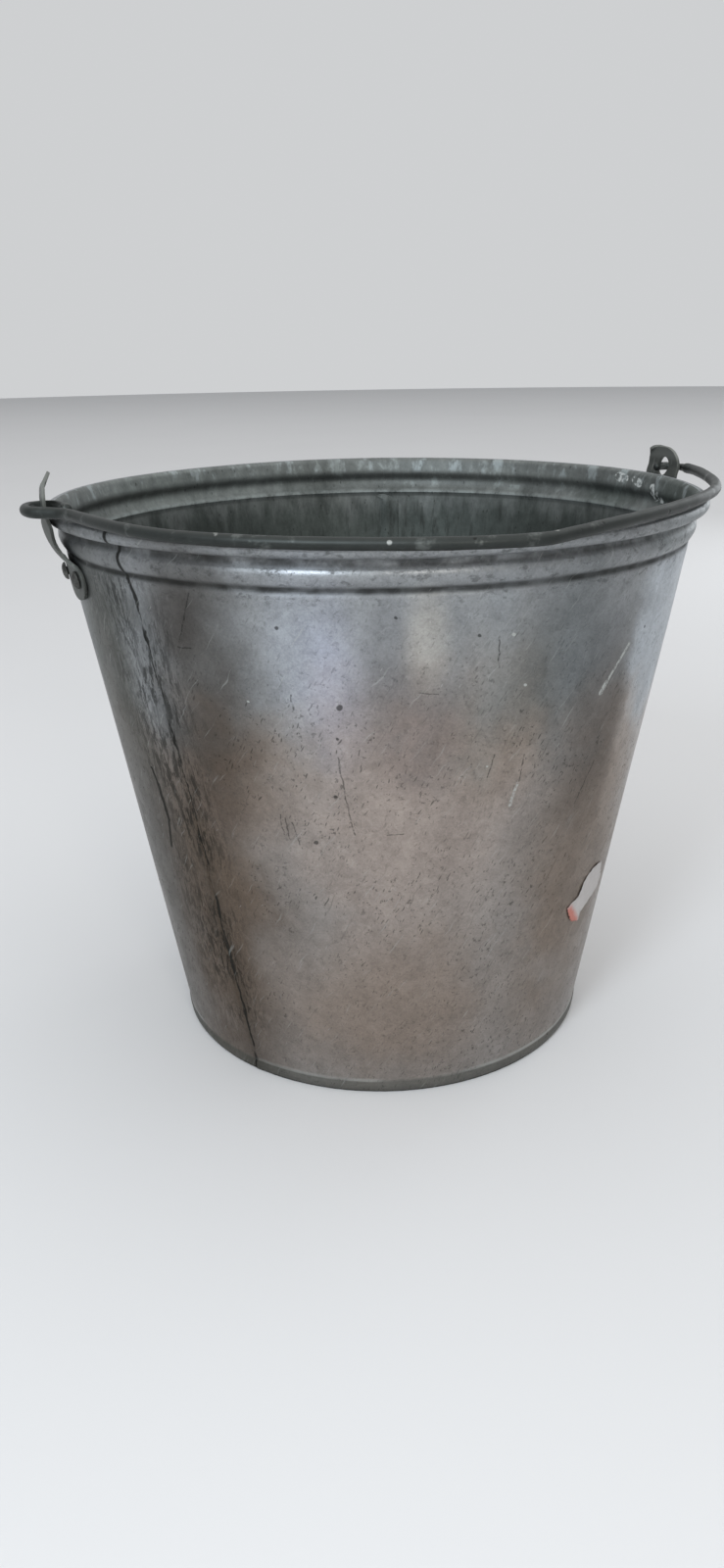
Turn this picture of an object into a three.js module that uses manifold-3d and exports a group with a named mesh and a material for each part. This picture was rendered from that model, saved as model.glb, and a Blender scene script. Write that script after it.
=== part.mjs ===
// A weathered galvanised steel pail, built from its real pieces.
// Two rolled body sheets lapped at their seams, a seamed bottom, a wired rim,
// two riveted ears and a bent wire bail, in millimetres, +Z up, ears on the X axis.

import * as THREE from "three";
import { mergeVertices } from "three/addons/utils/BufferGeometryUtils.js";
import Module from "manifold-3d";

const wasm = await Module();
wasm.setup();

// Driving sizes of the shell
const SHEET = 0.6;
const FIT_GAP = 0.3;
const FACET_ANGLE = 6;
const CONE_FOOT_RADIUS = 102;
const CONE_TOP_RADIUS = 142.8;
const CONE_TOP_HEIGHT = 242;
const CONE_ROWS = 5;
const CHIME_HEIGHT = 4.6;
const CHIME_STEP = 0.7;
const HEM_HEIGHT = 3.6;
const GROOVE_DEPTH = 0.9;
const GROOVE_WIDTH = 1.4;
const BAND_HEIGHT = 8.4;
const BAND_BULGE = 2.6;
const BAND_TOP_STEP = 1.0;
const RECESS_HEIGHT = 1.6;
const RIM_WIRE_RADIUS = 1.8;
const RIM_WIRE_CLEARANCE = 0.6;
const RIM_FLARE = 3.6;
const RIM_LIFT = 4.6;
const RIM_CURL_START = 195;
const RIM_CURL_END = -145;
const RIM_CURL_STEPS = 9;

// Driving sizes of the seams, angles about +Z from +X
const FRONT_SEAM_TOP_ANGLE = 203.8;
const FRONT_SEAM_FOOT_ANGLE = 210.8;
const BACK_SEAM_ANGLE = 65.8;
const SEAM_GAP = 0.3;
const LAP_WIDTH = 12;
const LAP_ROOT = 4;
const LAP_END_MARGIN = 3;
const LAP_TUCK_GAP = 0.55;

// Driving sizes of the bottom
const BOTTOM_RECESS = 12;
const BOTTOM_LIFT = 1.2;

// Driving sizes of the ears
const EAR_SHEET = 1.5;
const EAR_FOOT_TOP_DROP = 3;
const EAR_FOOT_BOTTOM_DROP = 18.5;
const EAR_FOOT_HALF_WIDTH = 19;
const EAR_FOOT_SQUARENESS = 0.8;
const EAR_HALF_WIDTH = 13;
const EAR_TOP_LEAN = 3;
const EAR_HEAD_RISE = 21;
const EAR_WAIST_RISE = 5;
const EAR_COLUMN_ANGLE = 1.6;
const EAR_HOLE_RADIUS = 4.6;
const EAR_FOLD_RISE = 25.5;
const EAR_FOLD_SLOPE = 15;

// How each ear sits and was knocked about: rise of its top over the cone, gap to the rim, how
// far its head is off the X axis, lift of its hole, lean out, corner fold, twist and sway
const RIGHT_EAR = {
  rise: 31.2, gap: 2.7, offset: 6.8, lift: 0.2, lean: 14, fold: 55, foldSide: 1, twist: 0, sway: 0,
};
const LEFT_EAR = {
  rise: 35.8, gap: 1.2, offset: 5.8, lift: 0.8, lean: 4, fold: 22, foldSide: -1, twist: -6, sway: 3.3,
};

// Driving sizes of the rivets
const RIVET_SPACING = 24;
const RIVET_DROP = 8;
const RIVET_SHANK_RADIUS = 1.8;
const RIVET_HEAD_RADIUS = 3.5;
const RIVET_HEAD_RISE = 2;
const RIVET_TAIL_RADIUS = 3;
const RIVET_TAIL_RISE = 1.2;
const RIVET_TAIL_GAP = 0.5;
const RIVET_SIDES = 16;

// Driving sizes of the bail
const BAIL_WIRE_RADIUS = 2.4;
const BAIL_RIM_CLEARANCE = 0.5;
const BAIL_SIDES = 10;
const BAIL_STEPS = 84;
const BAIL_DRAWN_RIM_RADIUS = 150.4;

// How far the axis of the cone is behind the middle of the outline, which the bail draws forward
const AXIS_SETBACK = 8.5;

// Driving sizes of the torn label
const LABEL_PAPER = 0.25;
const LABEL_ANGLE = -56.7;
const LABEL_HEIGHT = 83;
const LABEL_FACET_ANGLE = 2;

const radians = THREE.MathUtils.degToRad;
const degrees = THREE.MathUtils.radToDeg;
const point = (r, z) => new THREE.Vector2(r, z);

// Outside of the cone at a height
const coneSlope = (CONE_TOP_RADIUS - CONE_FOOT_RADIUS) / CONE_TOP_HEIGHT;
const coneTilt = Math.atan(coneSlope);
const coneRadius = (z) => CONE_FOOT_RADIUS + coneSlope * z;

// Heights and radii that the shell's upper edge hands on to its neighbours
const bandBottom = CONE_TOP_HEIGHT + GROOVE_WIDTH;
const bandTop = bandBottom + BAND_HEIGHT;
const bandTopRadius = CONE_TOP_RADIUS + BAND_TOP_STEP;
const curlRadius = RIM_WIRE_RADIUS + RIM_WIRE_CLEARANCE + SHEET / 2;
const curlCentre = point(bandTopRadius + RIM_FLARE, bandTop + RECESS_HEIGHT + RIM_LIFT);
const rimOuterRadius = curlCentre.x + curlRadius + SHEET / 2;
const rimTop = curlCentre.y + curlRadius + SHEET / 2;
const earRadius = ({ gap }) => rimOuterRadius + gap + EAR_SHEET / 2;
const earTurn = (ear) => degrees(Math.asin((ear.offset - ear.sway) / earRadius(ear)));
const rightEarAngle = -earTurn(RIGHT_EAR);
const leftEarAngle = 180 + earTurn(LEFT_EAR);
const earFootTop = CONE_TOP_HEIGHT - EAR_FOOT_TOP_DROP;
const earFootBottom = CONE_TOP_HEIGHT - EAR_FOOT_BOTTOM_DROP;
const earWaistHeight = CONE_TOP_HEIGHT + EAR_WAIST_RISE;
const earHeadHeight = CONE_TOP_HEIGHT + EAR_HEAD_RISE;
const earFoldStart = CONE_TOP_HEIGHT + EAR_FOLD_RISE;
const earTop = ({ rise }) => CONE_TOP_HEIGHT + rise;
const rivetHeight = CONE_TOP_HEIGHT - RIVET_DROP;
const bailHeight = rimTop + BAIL_WIRE_RADIUS + BAIL_RIM_CLEARANCE;

// A strip of sheet: its middle line, thickened to both sides, as a closed outline
function ribbon(line, thickness) {
  const half = thickness / 2;
  const sides = [[], []];
  line.forEach((here, i) => {
    const before = line[Math.max(i - 1, 0)];
    const after = line[Math.min(i + 1, line.length - 1)];
    const inward = i > 0 ? here.clone().sub(before).normalize() : null;
    const outward = i < line.length - 1 ? after.clone().sub(here).normalize() : inward;
    const first = inward ?? outward;
    const along = first.clone().add(outward).normalize();
    const normal = point(-along.y, along.x);
    const reach = half / Math.max(normal.dot(point(-first.y, first.x)), 0.4);
    sides[0].push(here.clone().addScaledVector(normal, -reach));
    sides[1].push(here.clone().addScaledVector(normal, reach));
  });
  return [...sides[0], ...sides[1].reverse()];
}

// A closed solid through matching rings of a ribbon's outline, with a strip closing each end
function loft(rings) {
  const size = rings[0].length;
  const indices = [];
  for (let ring = 0; ring < rings.length - 1; ring += 1) {
    for (let i = 0; i < size; i += 1) {
      const next = (i + 1) % size;
      const a = ring * size + i;
      const b = ring * size + next;
      indices.push(a, b, b + size, a, b + size, a + size);
    }
  }
  const last = (rings.length - 1) * size;
  for (let i = 0; i < size / 2 - 1; i += 1) {
    const [a, b] = [i, i + 1];
    const [c, d] = [size - 2 - i, size - 1 - i];
    indices.push(c, b, a, d, c, a);
    indices.push(last + a, last + b, last + c, last + a, last + c, last + d);
  }
  const geometry = new THREE.BufferGeometry();
  const positions = rings.flat().flatMap((p) => [p.x, p.y, p.z]);
  geometry.setAttribute("position", new THREE.Float32BufferAttribute(positions, 3));
  geometry.setIndex(indices);
  return facedOut(geometry);
}

// Volume inside a closed mesh, negative when its faces point in
function signedVolume(geometry) {
  const p = geometry.attributes.position;
  const [a, b, c] = [new THREE.Vector3(), new THREE.Vector3(), new THREE.Vector3()];
  let volume = 0;
  for (let i = 0; i < geometry.index.count; i += 3) {
    a.fromBufferAttribute(p, geometry.index.getX(i));
    b.fromBufferAttribute(p, geometry.index.getX(i + 1));
    c.fromBufferAttribute(p, geometry.index.getX(i + 2));
    volume += a.dot(b.cross(c)) / 6;
  }
  return volume;
}

function facedOut(geometry) {
  if (signedVolume(geometry) < 0) {
    const flipped = Array.from(geometry.index.array).reverse();
    geometry.setIndex(flipped);
  }
  return geometry;
}

// A lathe's own axis, stood up along +Z
function upright(geometry) {
  geometry.rotateX(Math.PI / 2);
  return welded(geometry);
}

// Only positions, with shared corners merged
function welded(geometry) {
  const bare = geometry.clone();
  bare.deleteAttribute("normal");
  bare.deleteAttribute("uv");
  return facedOut(mergeVertices(bare, 1e-4));
}

function solid(geometry) {
  const clean = welded(geometry);
  const vertProperties = new Float32Array(clean.attributes.position.array);
  const triVerts = new Uint32Array(clean.index.array);
  return new wasm.Manifold(new wasm.Mesh({ numProp: 3, vertProperties, triVerts }));
}

function fromSolid(manifold) {
  const mesh = manifold.getMesh();
  const geometry = new THREE.BufferGeometry();
  const positions = new Float32Array(mesh.vertProperties);
  geometry.setAttribute("position", new THREE.BufferAttribute(positions, 3));
  geometry.setIndex(Array.from(mesh.triVerts));
  return geometry;
}

const polar = (r, angle, z) => {
  const turn = radians(angle);
  return new THREE.Vector3(r * Math.cos(turn), r * Math.sin(turn), z);
};

// Angle of the slanted front seam at a height
function frontSeamAngle(z) {
  const share = THREE.MathUtils.clamp(z / CONE_TOP_HEIGHT, 0, 1);
  return THREE.MathUtils.lerp(FRONT_SEAM_FOOT_ANGLE, FRONT_SEAM_TOP_ANGLE, share);
}

const gapAngle = (r) => degrees(SEAM_GAP / 2 / r);

// Middle line of the body sheet, from the hem inside the foot to the end of the rim curl
function bodyLine() {
  const chime = (z) => coneRadius(z) + CHIME_STEP - SHEET / 2;
  const hemInset = 2 * (SHEET + FIT_GAP);
  const line = [
    point(chime(HEM_HEIGHT) - hemInset, HEM_HEIGHT),
    point(chime(SHEET / 2) - hemInset, SHEET / 2),
    point(chime(SHEET / 2), SHEET / 2),
    point(chime(CHIME_HEIGHT), CHIME_HEIGHT),
  ];
  const coneStart = CHIME_HEIGHT + 2 * CHIME_STEP;
  for (let row = 0; row <= CONE_ROWS; row += 1) {
    const z = THREE.MathUtils.lerp(coneStart, CONE_TOP_HEIGHT, row / CONE_ROWS);
    line.push(point(coneRadius(z) - SHEET / 2, z));
  }
  const top = CONE_TOP_RADIUS - SHEET / 2;
  line.push(point(top - GROOVE_DEPTH, CONE_TOP_HEIGHT + GROOVE_WIDTH / 2));
  for (const [share, bulge] of [[0, 0.15], [0.2, 0.65], [0.5, 1], [0.8, 0.9]]) {
    const base = THREE.MathUtils.lerp(top, top + BAND_TOP_STEP, share);
    line.push(point(base + (BAND_BULGE - BAND_TOP_STEP / 2) * bulge, bandBottom + BAND_HEIGHT * share));
  }
  line.push(point(top + BAND_TOP_STEP, bandTop));
  line.push(point(top + BAND_TOP_STEP, bandTop + RECESS_HEIGHT));
  for (let step = 0; step <= RIM_CURL_STEPS; step += 1) {
    const angle = radians(THREE.MathUtils.lerp(RIM_CURL_START, RIM_CURL_END, step / RIM_CURL_STEPS));
    const across = curlCentre.x + curlRadius * Math.cos(angle);
    line.push(point(across, curlCentre.y + curlRadius * Math.sin(angle)));
  }
  return line;
}

// One body sheet between two seams, whose edges may slant with height
function bodySheet(startAngle, endAngle) {
  const outline = ribbon(bodyLine(), SHEET);
  const columns = Math.ceil((endAngle(0) - startAngle(0)) / FACET_ANGLE);
  const rings = [];
  for (let column = 0; column <= columns; column += 1) {
    rings.push(outline.map(({ x, y }) => {
      const from = startAngle(y) + gapAngle(x);
      const to = endAngle(y) - gapAngle(x);
      return polar(x, THREE.MathUtils.lerp(from, to, column / columns), y);
    }));
  }
  return loft(rings);
}

// The joggled flange that one sheet tucks behind its neighbour at a seam
function lapFlange(edgeAngle, direction) {
  const low = BOTTOM_RECESS + LAP_END_MARGIN;
  const high = CONE_TOP_HEIGHT - LAP_END_MARGIN;
  const heights = [];
  for (let row = 0; row <= CONE_ROWS; row += 1) {
    heights.push(THREE.MathUtils.lerp(low, high, row / CONE_ROWS));
  }
  const tuck = SHEET + LAP_TUCK_GAP;
  const stations = [
    [-LAP_ROOT, SHEET * 0.3, SHEET * 0.4],
    [-LAP_ROOT * 0.6, SHEET * 0.35, SHEET * 0.55],
    [-SEAM_GAP, tuck, SHEET],
    [LAP_WIDTH / 3, tuck, SHEET],
    [LAP_WIDTH * 2 / 3, tuck, SHEET],
    [LAP_WIDTH, tuck, SHEET],
  ];
  const loop = [...heights.map((z) => [z, 0]), ...[...heights].reverse().map((z) => [z, 1])];
  const rings = stations.map(([across, depth, thickness]) => loop.map(([z, inner]) => {
    const r = coneRadius(z) - depth - inner * thickness;
    return polar(r, edgeAngle(z) + direction * degrees(across / r), z);
  }));
  return loft(rings);
}

// Places where a rivet passes through the wall, as a frame whose +Z is the rivet's axis
function rivetPlacement(side) {
  const wallRadius = coneRadius(rivetHeight);
  const angle = side * degrees(Math.asin(RIVET_SPACING / 2 / wallRadius));
  const seat = polar(wallRadius, angle, rivetHeight);
  const outward = polar(Math.cos(coneTilt), angle, -Math.sin(coneTilt));
  const turn = new THREE.Quaternion().setFromUnitVectors(new THREE.Vector3(0, 0, 1), outward);
  return { seat, turn };
}

function placed(geometry, { seat, turn }) {
  const moved = geometry.clone();
  moved.applyQuaternion(turn);
  moved.translate(seat.x, seat.y, seat.z);
  return moved;
}

// A pin-shaped tool that drills one rivet hole, a little wider than the shank
function rivetDrill(side) {
  const reach = 4 * (EAR_SHEET + SHEET);
  const drill = new THREE.CylinderGeometry(
    RIVET_SHANK_RADIUS + FIT_GAP, RIVET_SHANK_RADIUS + FIT_GAP, reach, RIVET_SIDES,
  );
  drill.rotateX(Math.PI / 2);
  return placed(drill, rivetPlacement(side));
}

function rivetGeometry() {
  const headSeat = EAR_SHEET + 2 * FIT_GAP;
  const tailSeat = -SHEET - RIVET_TAIL_GAP;
  const profile = [
    point(0, tailSeat - RIVET_TAIL_RISE),
    point(RIVET_TAIL_RADIUS * 0.7, tailSeat - RIVET_TAIL_RISE * 0.8),
    point(RIVET_TAIL_RADIUS, tailSeat),
    point(RIVET_SHANK_RADIUS, tailSeat),
    point(RIVET_SHANK_RADIUS, headSeat),
  ];
  for (let step = 0; step <= 4; step += 1) {
    const lift = radians(90 * step / 4);
    const r = RIVET_HEAD_RADIUS * Math.cos(lift);
    profile.push(point(step < 4 ? r : 0, headSeat + RIVET_HEAD_RISE * Math.sin(lift)));
  }
  return upright(new THREE.LatheGeometry(profile, RIVET_SIDES));
}

// The body sheets, with their flanges joined on and their rivet holes drilled
function withRivetHoles(geometry, earAngle) {
  let body = solid(geometry);
  for (const side of [-1, 1]) {
    body = body.subtract(solid(rivetDrill(side).rotateZ(radians(earAngle))));
  }
  return body;
}

function frontSheetGeometry() {
  const start = (z) => frontSeamAngle(z) - 360;
  const sheet = bodySheet(start, () => BACK_SEAM_ANGLE);
  return fromSolid(withRivetHoles(sheet, rightEarAngle));
}

function backSheetGeometry() {
  const sheet = bodySheet(() => BACK_SEAM_ANGLE, frontSeamAngle);
  const body = withRivetHoles(sheet, leftEarAngle);
  const flanges = [lapFlange(() => BACK_SEAM_ANGLE, -1), lapFlange(frontSeamAngle, 1)];
  return fromSolid(flanges.reduce((sum, flange) => sum.add(solid(flange)), body));
}

// The bottom: a raised disc with a skirt that hangs inside the folded foot
function bottomGeometry() {
  const skirt = (z) => coneRadius(z) - 1.5 * SHEET - FIT_GAP;
  const inChime = (z) => skirt(z) + CHIME_STEP;
  const line = [
    point(inChime(BOTTOM_LIFT), BOTTOM_LIFT),
    point(inChime(CHIME_HEIGHT - CHIME_STEP), CHIME_HEIGHT - CHIME_STEP),
    point(skirt(CHIME_HEIGHT + CHIME_STEP), CHIME_HEIGHT + CHIME_STEP),
    point(skirt(BOTTOM_RECESS - 2), BOTTOM_RECESS - 2),
    point(skirt(BOTTOM_RECESS) - 2, BOTTOM_RECESS),
    point(0, BOTTOM_RECESS),
  ];
  const outline = ribbon(line, SHEET);
  const inner = outline.slice(line.length);
  const outer = outline.slice(0, line.length);
  return upright(new THREE.LatheGeometry([...inner, ...outer], 360 / FACET_ANGLE));
}

function rimWireGeometry() {
  const profile = [];
  for (let side = 0; side <= 8; side += 1) {
    const angle = radians(45 * (side % 8));
    profile.push(point(
      curlCentre.x + RIM_WIRE_RADIUS * Math.cos(angle),
      curlCentre.y + RIM_WIRE_RADIUS * Math.sin(angle),
    ));
  }
  return upright(new THREE.LatheGeometry(profile, 360 / FACET_ANGLE));
}

// Middle line of the ear strip: flat on the wall, out past the rim and up
function earLine(ear) {
  const offWall = FIT_GAP + EAR_SHEET / 2;
  const onWall = (z) => point(coneRadius(z) + offWall * Math.cos(coneTilt), z);
  const low = onWall(earFootBottom - 2);
  const bend = onWall(earFootTop);
  const rim = point(earRadius(ear), curlCentre.y);
  const top = point(rim.x - EAR_TOP_LEAN, earTop(ear) + EAR_SHEET);
  const reach = rim.clone().sub(bend);
  const leave = point(bend.x + reach.x * 0.5, bend.y + reach.y * 0.16);
  const arrive = point(rim.x - reach.x * 0.04, rim.y - reach.y * 0.45);
  const neck = new THREE.CubicBezierCurve(bend, leave, arrive, rim).getPoints(7);
  const bow = point(rim.x + EAR_TOP_LEAN * 0.2, THREE.MathUtils.lerp(rim.y, top.y, 0.5));
  const head = new THREE.QuadraticBezierCurve(rim, bow, top).getPoints(7);
  return [low, onWall(rivetHeight), ...neck, ...head.slice(1)];
}

// Front outline of the ear, across and up: a rounded foot, a waist and a rounded head
function earOutline(topHeight) {
  const foot = EAR_FOOT_HALF_WIDTH;
  const corner = foot * EAR_FOOT_SQUARENESS;
  const cornerRise = THREE.MathUtils.lerp(rivetHeight, earFootBottom, 0.5);
  const half = EAR_HALF_WIDTH;
  const shape = new THREE.Shape();
  shape.moveTo(0, earFootBottom);
  shape.bezierCurveTo(corner, earFootBottom, foot, cornerRise, foot, rivetHeight);
  shape.bezierCurveTo(foot, earFootTop, half, earFootTop, half, earWaistHeight);
  shape.lineTo(half, earHeadHeight);
  shape.absellipse(0, earHeadHeight, half, topHeight - earHeadHeight, 0, Math.PI, false, 0);
  shape.lineTo(-half, earWaistHeight);
  shape.bezierCurveTo(-half, earFootTop, -foot, earFootTop, -foot, rivetHeight);
  shape.bezierCurveTo(-foot, cornerRise, -corner, earFootBottom, 0, earFootBottom);
  return shape;
}

// A flat outline, across and up, pushed through along the radius at +X
function stampTool(shape, depth, segments) {
  const options = { depth, bevelEnabled: false, curveSegments: segments };
  const geometry = new THREE.ExtrudeGeometry(shape, options);
  geometry.rotateX(Math.PI / 2);
  geometry.rotateZ(Math.PI / 2);
  return geometry;
}

// Sheet rolled to a ring sector about the axis, on both sides of +X
function ringSector(outline, halfAngle, columnAngle) {
  const columns = 2 * Math.ceil(halfAngle / columnAngle);
  const rings = [];
  for (let column = 0; column <= columns; column += 1) {
    const angle = THREE.MathUtils.lerp(-halfAngle, halfAngle, column / columns);
    rings.push(outline.map(({ x, y }) => polar(x, angle, y)));
  }
  return loft(rings);
}

// Bends an ear: one top corner folded in, the head leaned, twisted and swayed sideways
function bendEar(geometry, ear) {
  const { lean, fold, foldSide, twist, sway } = ear;
  const base = point(earRadius(ear), curlCentre.y);
  const slope = radians(EAR_FOLD_SLOPE);
  const p = geometry.attributes.position;
  for (let i = 0; i < p.count; i += 1) {
    let x = p.getX(i);
    let y = p.getY(i);
    let z = p.getZ(i);
    const past = (foldSide * y - EAR_HALF_WIDTH) * Math.sin(slope) + (z - earFoldStart) * Math.cos(slope);
    if (past > 0) {
      const turn = radians(fold) * Math.min(past / 2, 1);
      const shrink = past * (1 - Math.cos(turn));
      x -= past * Math.sin(turn);
      y -= foldSide * shrink * Math.sin(slope);
      z -= shrink * Math.cos(slope);
    }
    const above = z - base.y;
    if (above > 0) {
      const turn = radians(lean) * Math.min(above / 6, 1);
      const out = x - base.x;
      x = base.x + out * Math.cos(turn) + above * Math.sin(turn);
      z = base.y + above * Math.cos(turn) - out * Math.sin(turn);
    }
    const twisted = radians(twist) * THREE.MathUtils.smoothstep(z, base.y - 3, base.y + 4);
    const across = x - base.x;
    x = base.x + across * Math.cos(twisted) - y * Math.sin(twisted);
    y = across * Math.sin(twisted) + y * Math.cos(twisted);
    y -= foldSide * sway * THREE.MathUtils.smoothstep(z, earFootTop, base.y);
    p.setXYZ(i, x, y, z);
  }
  return geometry;
}

// One ear as it sits on the +X side
function earGeometry(ear) {
  const halfAngle = degrees(Math.asin((EAR_FOOT_HALF_WIDTH + 2) / coneRadius(rivetHeight)));
  const strip = ringSector(ribbon(earLine(ear), EAR_SHEET), halfAngle, EAR_COLUMN_ANGLE);
  const depth = rimOuterRadius * 2;
  let plate = solid(strip).intersect(solid(stampTool(earOutline(earTop(ear)), depth, 8)));
  const eye = new THREE.CylinderGeometry(EAR_HOLE_RADIUS, EAR_HOLE_RADIUS, depth, 20);
  eye.rotateZ(Math.PI / 2);
  eye.translate(depth / 2, 0, bailHeight + ear.lift);
  plate = plate.subtract(solid(eye));
  for (const side of [-1, 1]) {
    plate = plate.subtract(solid(rivetDrill(side)));
  }
  return bendEar(fromSolid(plate), ear);
}

// The bail as it lies on the rim: chosen points along the wire, from the left eye to the
// right, as across, forward and drop below the pivot. Both ends turn in through the eyes.
const bailPoints = [
  [-144.8, -24, 0], [-145.4, -16, 0], [-147.8, -8.2, 0], [-152.4, -5.8, 0], [-157.5, -7, 0],
  [-160.4, -13.7, 0], [-159.1, -22.4, 0], [-153.4, -27.6, 0], [-148.8, -31.7, 0.05],
  [-145.7, -38.1, 0.1], [-143.6, -47.1, 0.1], [-139.8, -62.2, 0.2], [-132.4, -82.3, 0.6],
  [-124.3, -95.8, 1], [-113.4, -109.1, 1.2], [-99.5, -122.7, 1.3], [-85.1, -133.5, 1.4],
  [-70.8, -142.7, 1.4], [-56, -150.7, 1.4], [-41, -157.5, 1.4], [-24.8, -162.5, 1.4],
  [-10.2, -164.9, 1.4], [-2, -164.5, 1.4], [6.5, -161.7, 1.1], [26.5, -154.2, 0.5],
  [51, -142.7, 0.2], [82.5, -124.1, 0.1], [97, -113.9, 0.05], [117.4, -95.9, 0],
  [131.6, -78.2, 0], [146, -53.9, 0.2], [155.9, -33.5, 0.3], [160, -21, 0.3],
  [160.3, -11.8, 0.2], [156.3, -6.4, 0], [148.8, -6.4, 0],
];

function bailGeometry() {
  const spread = rimOuterRadius / BAIL_DRAWN_RIM_RADIUS;
  const lying = ([x, y, drop]) => new THREE.Vector3(x * spread, y * spread, bailHeight - drop);
  const points = bailPoints.map(lying);
  const route = new THREE.CatmullRomCurve3(points, false, "centripetal");
  const corners = [];
  for (let side = 0; side < BAIL_SIDES; side += 1) {
    const angle = radians(360 * side / BAIL_SIDES);
    corners.push(point(BAIL_WIRE_RADIUS * Math.cos(angle), BAIL_WIRE_RADIUS * Math.sin(angle)));
  }
  const section = new THREE.Shape(corners);
  return welded(new THREE.ExtrudeGeometry(section, { steps: BAIL_STEPS, extrudePath: route }));
}

// Torn paper scrap, across and up from its own middle
const labelOutline = [
  [12.9, 12.1], [6.6, 13.8], [1.4, 12.9], [-2.9, 11], [-6.2, 7.7], [-8.4, 1.8], [-13.1, 0.5],
  [-16.6, -1.2], [-14.2, -6], [-11, -10], [-6.4, -12.5], [-1.7, -14], [-1.9, -9.1], [5, -7.3],
  [12.9, -4.9], [17, -1.9], [18.9, 2],
];

function labelGeometry() {
  const shape = new THREE.Shape(labelOutline.map(([across, up]) => point(across, LABEL_HEIGHT + up)));
  const heights = labelOutline.map(([, up]) => LABEL_HEIGHT + up);
  const reach = Math.max(...labelOutline.map(([across]) => Math.abs(across))) + 2;
  const offset = FIT_GAP + LABEL_PAPER / 2;
  const ends = [Math.min(...heights) - 2, Math.max(...heights) + 2];
  const line = ends.map((z) => point(coneRadius(z) + offset, z));
  const halfAngle = degrees(reach / coneRadius(LABEL_HEIGHT));
  const strip = ringSector(ribbon(line, LABEL_PAPER), halfAngle, LABEL_FACET_ANGLE);
  const label = solid(strip).intersect(solid(stampTool(shape, rimOuterRadius * 2, 4)));
  return fromSolid(label);
}

// Finishes, from the photograph
const zinc = { color: 0x8d9291, roughness: 0.5, metalness: 0.85 };
const wornZinc = { color: 0x7f8484, roughness: 0.6, metalness: 0.8 };
const darkWire = { color: 0x565b5a, roughness: 0.65, metalness: 0.7 };
const darkRivet = { color: 0x4f5150, roughness: 0.6, metalness: 0.7 };
const paper = { color: 0xc9c4bb, roughness: 0.9, metalness: 0 };

function piece(name, geometry, finish) {
  const mesh = new THREE.Mesh(geometry, new THREE.MeshStandardMaterial({ ...finish }));
  mesh.name = name;
  return mesh;
}

function rivet(name, side) {
  const mesh = piece(name, rivetGeometry(), darkRivet);
  const { seat, turn } = rivetPlacement(side);
  mesh.position.copy(seat);
  mesh.quaternion.copy(turn);
  return mesh;
}

// An ear with its two rivets, as a group that turns to its side of the bucket
function earGroup(label, turn, ear) {
  const group = new THREE.Group();
  group.add(piece(`${label}_ear`, earGeometry(ear), wornZinc));
  group.add(rivet(`${label}_ear_front_rivet`, -ear.foldSide));
  group.add(rivet(`${label}_ear_rear_rivet`, ear.foldSide));
  group.rotation.z = radians(turn);
  return group;
}

const bucket = new THREE.Group();
bucket.position.y = AXIS_SETBACK;
bucket.add(piece("front_body_sheet", frontSheetGeometry(), zinc));
bucket.add(piece("back_body_sheet", backSheetGeometry(), zinc));
bucket.add(piece("bottom_pan", bottomGeometry(), zinc));
bucket.add(piece("rim_wire", rimWireGeometry(), wornZinc));
bucket.add(earGroup("right", rightEarAngle, RIGHT_EAR));
bucket.add(earGroup("left", leftEarAngle, LEFT_EAR));
bucket.add(piece("bail_handle", bailGeometry(), darkWire));
const scrap = piece("label_scrap", labelGeometry(), paper);
scrap.rotation.z = radians(LABEL_ANGLE);
bucket.add(scrap);

const object = new THREE.Group();
object.add(bucket);

export default object;
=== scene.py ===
"""A weathered galvanised bucket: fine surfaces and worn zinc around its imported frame."""

import math

import bmesh
import bpy
import numpy as np
from mathutils import Matrix, Vector


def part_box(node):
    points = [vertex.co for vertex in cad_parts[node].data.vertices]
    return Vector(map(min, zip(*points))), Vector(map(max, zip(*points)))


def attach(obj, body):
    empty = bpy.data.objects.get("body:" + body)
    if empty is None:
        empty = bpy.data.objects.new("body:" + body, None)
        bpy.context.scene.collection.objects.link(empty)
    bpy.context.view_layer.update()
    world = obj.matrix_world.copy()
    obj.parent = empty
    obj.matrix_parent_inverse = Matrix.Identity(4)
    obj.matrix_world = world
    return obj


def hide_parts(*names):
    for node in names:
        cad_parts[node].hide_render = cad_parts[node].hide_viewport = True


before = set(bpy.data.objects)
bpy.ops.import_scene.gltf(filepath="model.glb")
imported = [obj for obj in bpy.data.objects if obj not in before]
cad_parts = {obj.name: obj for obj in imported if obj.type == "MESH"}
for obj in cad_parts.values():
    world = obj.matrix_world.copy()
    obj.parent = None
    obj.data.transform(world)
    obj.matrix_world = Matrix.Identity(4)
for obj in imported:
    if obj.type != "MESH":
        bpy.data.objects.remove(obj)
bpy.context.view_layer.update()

bl_info = {
    "name": "Weathered Galvanised Bucket",
    "version": (1, 0, 0),
    "blender": (4, 5, 0),
    "location": "View3D > Sidebar > Bucket",
    "description": "Sheet walls, wired rim, ears, bail and worn zinc for a galvanised bucket",
    "category": "Add Mesh",
}

MM = 0.001
SHEEN_LEVEL = 0.2

# The front seam, bottom to top: mm above the floor, degrees from the front
SEAM_PATH = [(0, -58), (22, -58.4), (75, -60.2), (126, -60.6), (166, -61.8), (201, -63), (235, -64.3),
             (243, -65.6), (250, -66)]
LEAST = 1e-9
SHORTEST_STROKE = 1e-3

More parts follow.
